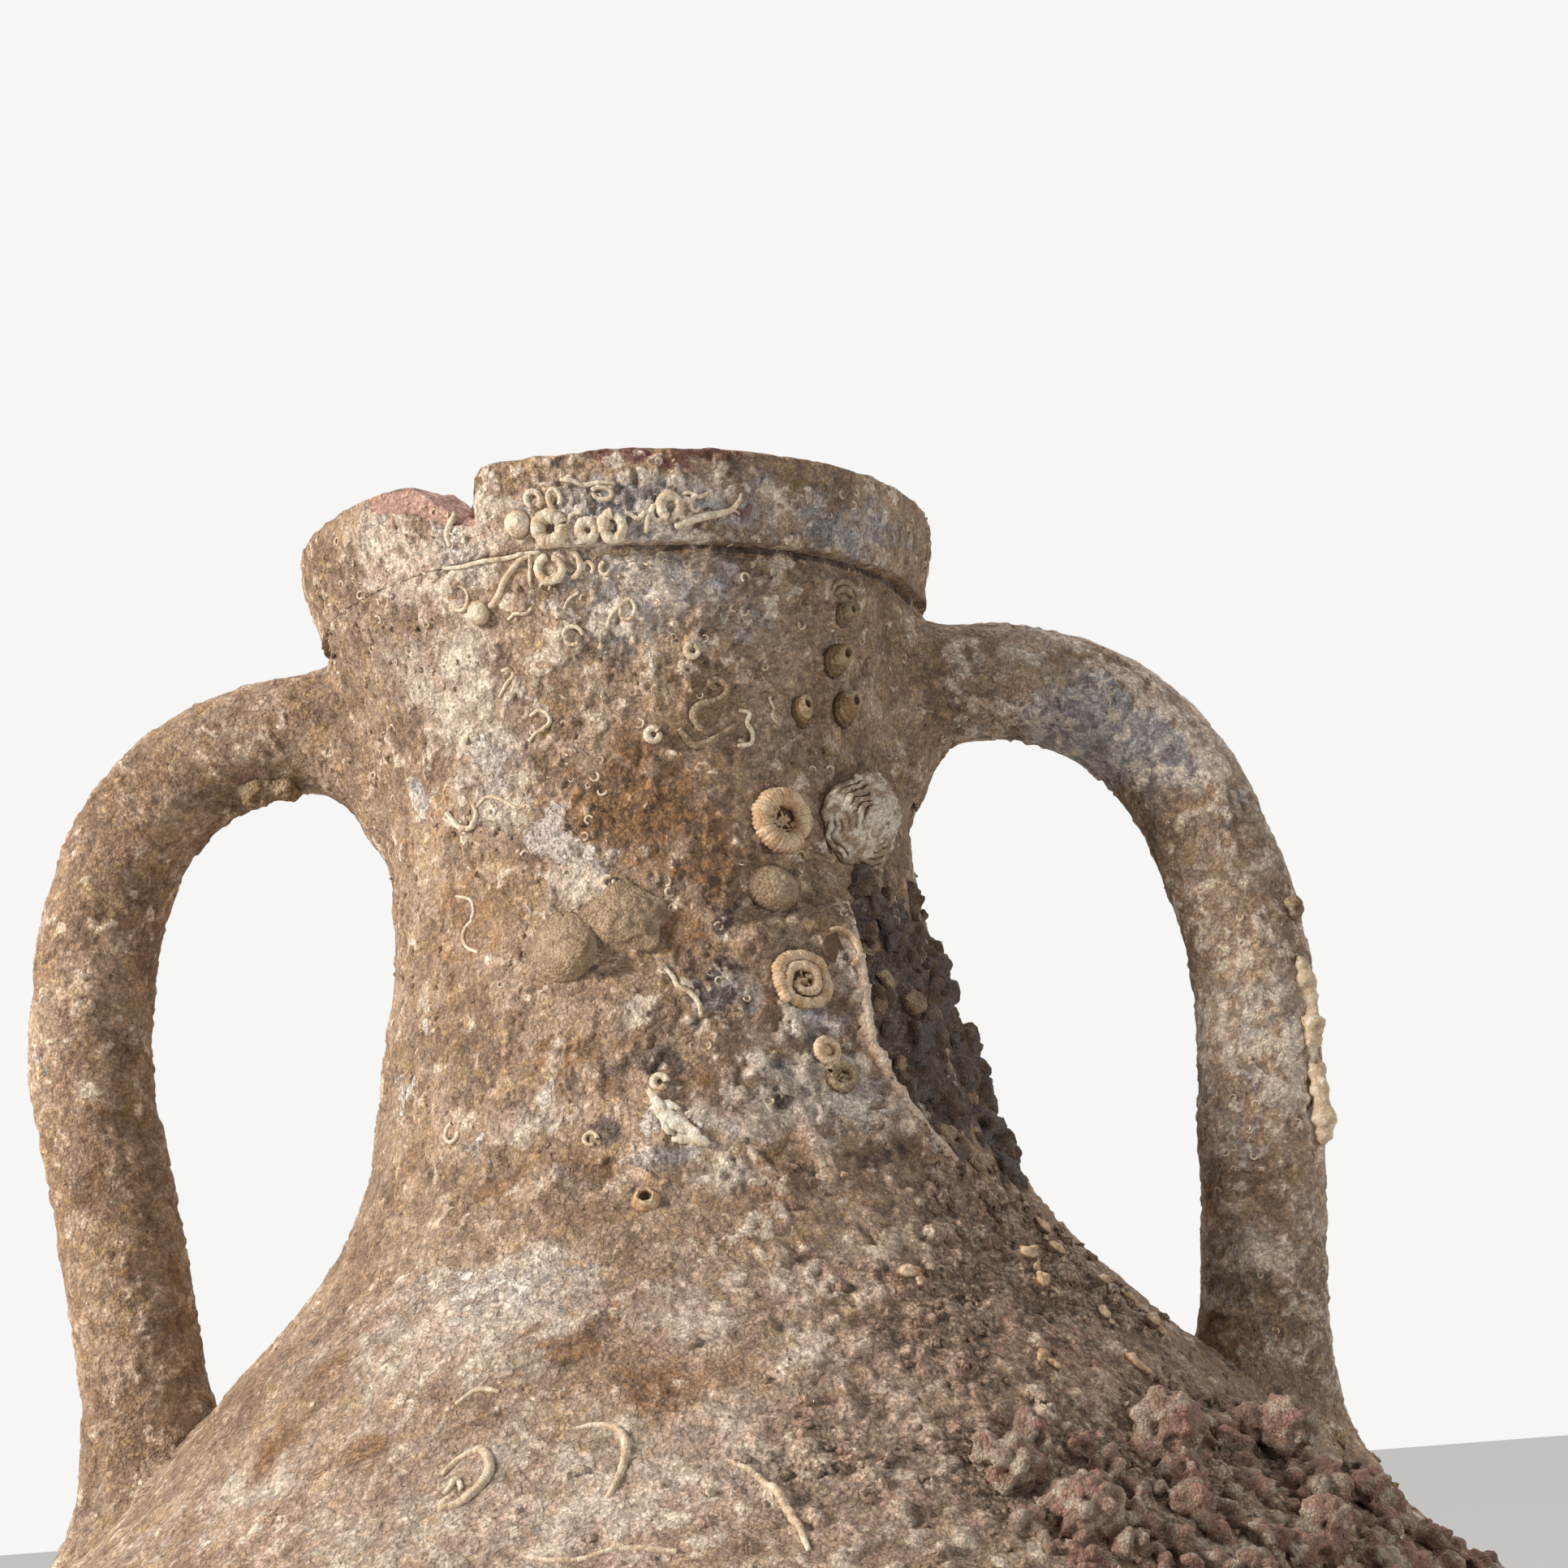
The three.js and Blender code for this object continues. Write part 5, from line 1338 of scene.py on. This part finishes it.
def strewing(name, curved, material):
    """Geometry Nodes that strew one small shape over the marked part of a surface, turned at random."""
    tree = bpy.data.node_groups.new(name, "GeometryNodeTree")
    side = tree.interface
    side.new_socket("Surface", in_out="INPUT", socket_type="NodeSocketGeometry")
    for label, kind in (("Number to the square metre", "Float"), ("Smallest", "Float"),
                        ("Largest", "Float"), ("Seed", "Int")):
        side.new_socket(label, in_out="INPUT", socket_type="NodeSocket" + kind)
    side.new_socket("Scraps", in_out="OUTPUT", socket_type="NodeSocketGeometry")
    given = tree.nodes.new("NodeGroupInput").outputs
    marked = node(tree, "GeometryNodeInputNamedAttribute", {"Name": "strewn"},
                  data_type="FLOAT").outputs["Attribute"]
    number = node(tree, "ShaderNodeMath", {0: marked, 1: given["Number to the square metre"]},
                  operation="MULTIPLY").outputs[0]
    spread = node(tree, "GeometryNodeDistributePointsOnFaces",
                  {"Mesh": given["Surface"], "Density": number, "Seed": given["Seed"]})
    if curved:
        arc = node(tree, "GeometryNodeCurveArc",
                   {"Resolution": 8, "Radius": 1.0, "Sweep Angle": 4.2}).outputs["Curve"]
        section = node(tree, "GeometryNodeCurvePrimitiveCircle",
                       {"Resolution": 6, "Radius": 0.3}).outputs["Curve"]
        shape = node(tree, "GeometryNodeCurveToMesh",
                     {"Curve": arc, "Profile Curve": section, "Fill Caps": True}).outputs["Mesh"]
    else:
        ball = node(tree, "GeometryNodeMeshUVSphere",
                    {"Segments": 8, "Rings": 5, "Radius": 1.0}).outputs["Mesh"]
        dents = node(tree, "ShaderNodeTexNoise", {"Scale": 1.9}).outputs["Color"]
        dents = node(tree, "ShaderNodeVectorMath", {0: dents, 1: (0.5, 0.5, 0.5)},
                     operation="SUBTRACT").outputs["Vector"]
        dents = node(tree, "ShaderNodeVectorMath", {0: dents, "Scale": 2.6},
                     operation="SCALE").outputs["Vector"]
        shape = node(tree, "GeometryNodeSetPosition", {"Geometry": ball, "Offset": dents}).outputs["Geometry"]
    stand = node(tree, "FunctionNodeAlignRotationToVector", {"Vector": spread.outputs["Normal"]},
                 axis="Z").outputs["Rotation"]
    spin = node(tree, "FunctionNodeRandomValue",
                {"Min": (-0.35, -0.35, 0), "Max": (0.35, 0.35, 6.28), "Seed": given["Seed"]},
                data_type="FLOAT_VECTOR").outputs["Value"]
    spin = node(tree, "FunctionNodeEulerToRotation", {"Euler": spin}).outputs["Rotation"]
    turned_round = node(tree, "FunctionNodeRotateRotation", {"Rotation": stand, "Rotate By": spin},
                        rotation_space="LOCAL").outputs["Rotation"]
    size = node(tree, "FunctionNodeRandomValue", {"Seed": given["Seed"]}, data_type="FLOAT")
    for label, end in (("Smallest", "Min"), ("Largest", "Max")):
        tree.links.new(given[label], next(item for item in size.inputs if item.name == end and item.enabled))
    size = next(item for item in size.outputs if item.enabled)
    copies = node(tree, "GeometryNodeInstanceOnPoints",
                  {"Points": spread.outputs["Points"], "Instance": shape, "Rotation": turned_round,
                   "Scale": size})
    real = node(tree, "GeometryNodeRealizeInstances",
                {"Geometry": copies.outputs["Instances"]}).outputs["Geometry"]
    smooth = node(tree, "GeometryNodeSetShadeSmooth", {"Geometry": real}).outputs["Geometry"]
    done = node(tree, "GeometryNodeSetMaterial",
                {"Geometry": smooth, "Material": material}).outputs["Geometry"]
    out = tree.nodes.new("NodeGroupOutput")
    tree.links.new(done, out.inputs["Scraps"])
    return tree


def strewn(name, host, mark, tree, number, smallest, largest, seed):
    """Scraps lying on a thrown section's outside, as many to the square metre as its mark asks for."""
    mesh = host.data.copy()
    mesh.name = name
    points = read_back(mesh, "co") / mm
    reach = np.hypot(points[:, 0] - lean(points[:, 2]), points[:, 1])
    outer = reach > np.where(points[:, 2] > neck_top, 79, wall_radius(points[:, 2]) - 4)
    write_mark(mesh, "strewn", mark(points) * outer)
    piece = linked(name, mesh)
    strew = piece.modifiers.new("strew", "NODES")
    strew.node_group = tree
    for label, value in (("Number to the square metre", number), ("Smallest", smallest * mm),
                         ("Largest", largest * mm), ("Seed", seed)):
        socket = next(item for item in tree.interface.items_tree if item.name == label)
        strew[socket.identifier] = value
    piece.data = settled(piece)
    write_mark(piece.data, "low", np.full(len(piece.data.vertices), 0.2))
    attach(piece, "root")


scrap_tree, grain_tree = strewing("worm_scraps", True, cream_worm), strewing("sand_grains", False, sea_clay)


def upper_front(points):
    turn = turn_of(points)
    within = rise_between(points[:, 2], 560, 690) * (points[:, 2] < 756)
    return np.clip(0.35 + cloud(points, 22, 77), 0, 1) * within * (0.35 + 0.65 * (np.abs(turn - 262) < 60))


def right_shoulder(points):
    return np.clip(stains(points)["grit"] - 0.06, 0, 1) * np.clip(0.5 + cloud(points, 16, 78), 0, 1)


def all_over(points):
    return np.clip(0.4 + cloud(points, 18, 79), 0, 1)


strewn("neck_worm_scraps", neck_clay, upper_front, scrap_tree, 20000, 0.35, 1.2, 3)
strewn("collar_worm_scraps", rim_collar_clay, upper_front, scrap_tree, 34000, 0.3, 1.1, 4)
strewn("handle_worm_scraps", handle_right_clay, all_over, scrap_tree, 16000, 0.35, 1.0, 8)
strewn("neck_sand_grains", neck_clay, upper_front, grain_tree, 30000, 0.3, 0.8, 5)
strewn("shoulder_stones", shoulder_clay, right_shoulder, grain_tree, 70000, 0.3, 1.5, 6)

# Cream lumps in pairs, a large one and a small one below it: turn, height and size.
lump_places = [
    (320.1, 560.7, 2.5), (319.8, 555.8, 2.3), (331.1, 568.1, 2.0), (329, 562.2, 2.1),
    (331.7, 553.5, 1.9), (334.4, 544.4, 2.2), (326, 548, 1.7), (323.1, 536.7, 2.3),
    (322.4, 563.2, 1.6), (299.9, 559.3, 2.4), (310, 540, 1.9), (337, 551, 1.6)]
lumps = []
for half in (0, 1):
    for k, (turn, z, size) in enumerate(lump_places):
        round_top = dome(size * (1 - 0.3 * half), size * (0.7 - 0.2 * half), silt=0.2)
        lump = turned(round_top, 28, (1.3, 0.8), bumps=1.0, bump_size=1.5, seed=k + half)
        lumps.append(placed(lump, turn + 0.8 * half, z - 1.6 * half, 40 * k + 70 * half))
growth("shoulder_cream_lumps", joined(*lumps), peach_tube, "shell")

# Small cup shells
# Four pointed little shells hang in a short chain under the collar on the right, each open at its
# tip.

amber_shell = chalk("amber_shell", (190, 165, 130), (150, 120, 86), (70, 53, 41), 0.8, 0.5)


def cup(turn, z, spin, seed, long=4.4, wide=3.3):
    """A horn of shell that leans up the wall, with a small open mouth at its tip."""
    horn = turned([(1.0, -0.9, 1.0), (1.04, 0.2, 0.9), (1.0, 0.9, 0.5), (0.93, 1.2, 0.7),
                   (0.9, 1.9, 0.3), (0.8, 2.3, 0.6), (0.74, 3.0, 0.2), (0.6, 3.5, 0.2), (0.5, 4.2, 0.0),
                   (0.38, 4.3, 0.0), (0.26, 3.9, 0.7), (0.2, 2.8, 1.0), (0.06, 2.6, 1.0)], 44, (wide, long),
                  (0.2, long * 0.62), ribs=13, rib_depth=0.035, bumps=0.3, bump_size=1.3, seed=seed)
    return placed(horn, turn, z, spin)


def crescent(turn, z, radius, high, seed):
    """A thin curved leaf of shell that stands up round the top of a cup."""
    a = np.radians(np.linspace(20, 160, 30))
    line = np.stack([radius * np.cos(a), radius * 0.8 * np.sin(a), 0 * a + high], axis=1)
    return placed(tube(line, [0.35, 0.8, 0.9, 0.8, 0.35], mouth=False, squat=0.8, ridge=0.05, seed=seed),
                  turn, z)


top_cup = joined(cup(319.2, 722.8, 8, 12, 3.0, 2.4), crescent(319.4, 726.6, 3.4, 0.9, 81),
                 crescent(319.6, 727.4, 4.9, 0.6, 82))
growth("string_shell_top_cup", top_cup, silted_shell, "shell", "string_shell_top")
growth("string_shell_middle_cup", cup(317.3, 711.0, -14, 13, 4.2, 3.4), amber_shell, "shell",
       "string_shell_middle")
growth("string_shell_left_cup", cup(308.6, 697.2, 16, 14, 3.8, 2.4), amber_shell, "shell",
       "string_shell_left")
growth("string_shell_low_cup", cup(320.0, 699.4, -4, 15, 4.4, 3.5), amber_shell, "shell", "string_shell_low")

# Shells at the crust's foot
# Worm tubes and little clams crowd together where the crust's edge runs out on the shoulder.


def clam(turn, z, spin, size, seed):
    """A small ribbed valve."""
    shell = turned([(1.0, -0.4, 1.0), (1.02, 0.2, 0.6), (0.93, 0.5, 0.3), (0.85, 0.62, 0.5),
                    (0.76, 0.86, 0.2), (0.55, 1.05, 0.1), (0.3, 1.15, 0.1), (0.06, 1.18, 0.1)],
                   40, (size, size * 0.66), (0.2 * size, 0), ribs=11, rib_depth=0.03, bumps=0.12 * size,
                   bump_size=1.1, seed=seed)
    points, faces, low = shell
    return placed((points * [1, 1, size * 0.55], faces, low), turn, z, spin)


foot_shells = joined(clam(318.0, 598.0, -45, 4.6, 16),
                     clam(324.2, 593.5, -30, 3.4, 17), clam(323.0, 587.4, 20, 3.6, 18),
                     clam(327.0, 589.5, 60, 2.8, 19), ring_worm(325.6, 592.0, 2.4, 1.0, 0, 330, 30),
                     ring_worm(321.2, 590.0, 2.0, 0.9, 120, -300, 31),
                     ring_worm(328.2, 585.8, 2.1, 0.9, 30, 320, 32))
growth("small_shell_cluster_heap", foot_shells, silted_shell, "shell", "small_shell_cluster")

# Lumpy concretions
# Sand, shell and coral-like growth cemented into knobbly masses: behind the crust's edge, on the
# shoulder's right, under the left arch and on the right handle.

dark_crust = chalk("dark_crust", (138, 118, 98), (108, 86, 68), (58, 45, 38), 1.2, 0.6, (122, 112, 108))
coral_crust = chalk("coral_crust", (198, 180, 158), (162, 132, 112), (80, 62, 52), 1.2, 0.6, (170, 128, 110))


def without_pockets(mesh):
    """Takes out the closed pockets and stray crumbs that fusing leaves in a mass."""
    shape = bmesh.new()
    shape.from_mesh(mesh)
    seen, stray = set(), []
    for first in shape.faces:
        if first.index in seen:
            continue
        seen.add(first.index)
        shell, queue = [], [first]
        while queue:
            face = queue.pop()
            shell.append(face)
            beside = (other for line in face.edges for other in line.link_faces)
            for other in (other for other in beside if other.index not in seen):
                seen.add(other.index)
                queue.append(other)
        facing = sum(face.normal.dot(face.calc_center_median()) * face.calc_area() for face in shell)
        if len(shell) < 60 or facing < 0:
            stray += shell
    bmesh.ops.delete(shape, geom=stray, context="FACES")
    shape.to_mesh(mesh)
    shape.free()


def lumpy(name, lumps, voxel, knobs, material, slot, nodename, seed, rugged=0.0):
    """One knobbly mass from overlapping balls (place and radius in mm), fused and roughened."""
    shape = bmesh.new()
    for at, radius in lumps:
        bmesh.ops.create_icosphere(shape, subdivisions=2, radius=radius * mm,
                                   matrix=Matrix.Translation(Vector(at) * mm))
    mesh = bpy.data.meshes.new(name)
    shape.to_mesh(mesh)
    shape.free()
    piece = linked(name, mesh)
    fused = piece.modifiers.new("fused", "REMESH")
    fused.mode, fused.voxel_size = "VOXEL", voxel * mm
    whole = settled(piece)
    without_pockets(whole)
    piece.data = whole
    points, normals = read_back(whole, "co") / mm, read_back(whole, "normal")
    hollow, own = pebbles(points, knobs * 1.5, seed)
    torn = np.abs(cloud(points, knobs * 1.6, seed + 5)) - 0.25
    shove = 0.28 * knobs * cloud(points, knobs, seed) + 0.16 * knobs * cloud(points, knobs * 0.4, seed + 1)
    shove = shove + rugged * torn
    shove -= 0.55 * knobs * (own > 0.6) * rise_between(0.55 - hollow, 0, 0.35)
    shove += 0.25 * cloud(points, 1.3, seed + 2)
    points = points + normals * shove[:, None]
    whole.vertices.foreach_set("co", (points * mm).ravel())
    whole.update()
    # Darker where the surface is pushed in and lighter on the knobs: painted shade in the dents and pits.
    low = np.clip(0.3 - 0.5 * shove / knobs + 0.3 * cloud(points, 3, seed + 3), 0, 1)
    write_mark(whole, "low", low)
    whole.shade_smooth()
    dress(piece, material, slot, nodename)


chance = np.random.default_rng(7)
behind_edge = []
for turn, z, stand, radius in ((345, 655, -1.5, 5.0), (340, 645, -2.2, 5.4), (347, 637, -1.6, 6.4),
                               (338, 627, -2.4, 6.2), (348, 617, -1.4, 7.4), (340, 609, -2.0, 6.4),
                               (349, 603, -1.8, 6.6), (341, 596, -2.4, 6.0), (350, 590, -2.2, 6.0),
                               (334, 616, -3.2, 5.2), (332, 598, -3.0, 4.6), (333, 650, -2.8, 4.0),
                               (343, 582, -2.4, 5.0)):
    place, out = skin(turn, z)
    behind_edge.append((place[0] + out[0] * stand, radius))
for k in range(150):
    place, out = skin(chance.uniform(318.5, 354), chance.uniform(581, 657))
    radius = chance.choice([1.4, 2.3, 3.6, 5.0], p=[0.4, 0.3, 0.2, 0.1])
    behind_edge.append((place[0] + out[0] * chance.uniform(-0.8, 0.25) * radius, radius))
lumpy("neck_concretion_mass", behind_edge, 0.85, 3.4, dark_crust, "crust", "neck_concretion", 3, 2.0)

coral_heap = []
for k in range(520):
    turn, z = chance.uniform(297, 342), chance.uniform(474, 524)
    size = chance.choice([1.5, 2.6, 4.2, 6.4], p=[0.44, 0.32, 0.18, 0.06]) * chance.uniform(0.75, 1.25)
    place, out = skin(turn, z)
    if cloud(place, 9, 101)[0] > -0.22:
        coral_heap.append((place[0] + out[0] * (chance.uniform(-0.5, 0.75) * size), size))
lumpy("shoulder_concretion_mass", coral_heap, 0.85, 2.6, coral_crust, "crust", "shoulder_concretion", 5, 3.2)


def corners(nodename):
    """The two corners of a plain solid's box, in mm."""
    return (np.array(corner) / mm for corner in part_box(nodename))


lo, hi = corners("handle_left_concretion")
arch_lump = []
for k in range(7):
    share = (0.14 + 0.12 * k, 0.5 + 0.1 * math.sin(k * 2), 0.58 + 0.1 * math.cos(k * 1.7))
    arch_lump.append((lo + (hi - lo) * share, 3.9 + 0.8 * math.sin(k)))
lumpy("handle_left_concretion_mass", arch_lump, 0.8, 2.6, silted_shell, "crust", "handle_left_concretion", 7)
lo, hi = corners("handle_right_growth")
pale_strip = []
for k in range(12):
    climb = lo[2] + 3 + (hi[2] - lo[2] - 6) * k / 11
    middle = (lo + hi) / 2 * (1, 1, 0) + (0.6 * math.sin(k), 0.8 * math.cos(k * 1.4), climb)
    pale_strip.append((middle, 3.0 + 0.7 * math.sin(k * 2.1)))
lumpy("handle_right_growth_strip", pale_strip, 0.8, 2.2, cream_worm, "crust", "handle_right_growth", 9)
lo, hi = corners("handle_right_lump")
small_lump = [((lo + hi) / 2 + (0.3 * math.sin(k * 2), 0.7 * math.cos(k), 1.2 * math.sin(k * 3)), 2.9)
              for k in range(4)]
lumpy("handle_right_lump_mass", small_lump, 0.6, 1.8, silted_shell, "crust", "handle_right_lump", 11)

# Floor and backdrop
# A plain pale floor under the toe, and a plain pale surround that fills the shadows softly. To the
# camera the floor shows half by a glow of its own, so that no lamp bleaches it.

bpy.ops.mesh.primitive_plane_add(size=14, location=(0, 0, 0))
floor = bpy.context.object
floor.name = "floor"
floor_paint, floor_tree = new_material("floor_paint")
floor_shader = floor_tree.nodes["Principled BSDF"]
floor_shader.inputs["Base Color"].default_value = srgb(222, 220, 216)
floor_shader.inputs["Roughness"].default_value = 0.9
looked_at = node(floor_tree, "ShaderNodeLightPath").outputs["Is Camera Ray"]
shaded = node(floor_tree, "ShaderNodeBsdfDiffuse", {"Color": srgb(118, 117, 115)}).outputs[0]
glow = node(floor_tree, "ShaderNodeEmission", {"Color": srgb(240, 238, 234), "Strength": 0.56}).outputs[0]
ground = node(floor_tree, "ShaderNodeAddShader", {0: shaded, 1: glow}).outputs[0]
both = node(floor_tree, "ShaderNodeMixShader",
            {0: looked_at, 1: floor_shader.outputs[0], 2: ground}).outputs[0]
floor_tree.links.new(both, floor_tree.nodes["Material Output"].inputs["Surface"])
floor.data.materials.append(floor_paint)

surround = bpy.data.worlds.new("surround")
surround.use_nodes = True
bpy.context.scene.world = surround
air = surround.node_tree
seen = node(air, "ShaderNodeLightPath")
lit = node(air, "ShaderNodeBackground", {"Color": (0.9, 0.94, 1, 1), "Strength": 0.32})
shown = node(air, "ShaderNodeBackground", {"Color": (0.93, 0.925, 0.915, 1), "Strength": 1.0})
rays = node(air, "ShaderNodeMath", {0: seen.outputs["Is Camera Ray"], 1: seen.outputs["Is Glossy Ray"]},
            operation="MAXIMUM")
blend = node(air, "ShaderNodeMixShader", {0: rays.outputs[0], 1: lit.outputs[0], 2: shown.outputs[0]})
air.links.new(blend.outputs[0], air.nodes["World Output"].inputs["Surface"])

# Lamps
# A bright lamp high on the left gives the relief its shadows. A broad weak one fills from the right,
# and a broad one hangs above and behind.


def soft_lamp(name, place, aim, size, power, tint):
    """A square lamp at a place in m, turned to its aim, with its size in m and its power in W."""
    lamp = bpy.data.lights.new(name, "AREA")
    lamp.size, lamp.energy, lamp.color = size, power, tint
    holder = linked(name, lamp)
    holder.location = place
    toward = np.array(aim) - np.array(place)
    holder.rotation_euler = Vector(toward).to_track_quat("-Z", "Y").to_euler()


soft_lamp("key", (-1.83, -1.0, 1.4), (0, 0, 0.62), 0.42, 78, (1, 0.965, 0.93))
soft_lamp("fill", (1.7, -1.2, 0.8), (0, 0, 0.6), 1.6, 13, (0.95, 0.97, 1))
soft_lamp("top", (0.3, 1.2, 2.6), (0, 0.3, 0.0), 2.4, 60, (1, 1, 1))

# Camera
# It looks up a little at the neck from close in front, so the mouth's far side is hidden.

eye = bpy.data.cameras.new("camera")
eye.sensor_width, eye.lens = 36, 56.05
camera = linked("camera", eye)
camera_place = (0.042324, -0.637436, 0.55578)
yaw, pitch, roll, swing = 0.0501, 0.2101, 0.0779, 0.0663


def swung(x, y, z):
    """An arrow turned about the upright by the swing."""
    return np.array([x * math.cos(swing) - y * math.sin(swing), x * math.sin(swing) + y * math.cos(swing), z])


level = swung(math.cos(yaw), -math.sin(yaw), 0)
upright = swung(-math.sin(yaw) * math.sin(pitch), -math.cos(yaw) * math.sin(pitch), math.cos(pitch))
ahead = swung(math.sin(yaw) * math.cos(pitch), math.cos(yaw) * math.cos(pitch), math.sin(pitch))
right = math.cos(roll) * level - math.sin(roll) * upright
up = math.sin(roll) * level + math.cos(roll) * upright
place = np.eye(4)
place[:3, 0], place[:3, 1], place[:3, 2], place[:3, 3] = right, up, -ahead, camera_place
camera.matrix_world = Matrix(place.tolist())
eye.clip_start, eye.clip_end = 0.01, 50
bpy.context.scene.camera = camera
bpy.context.scene.view_settings.view_transform = "Standard"
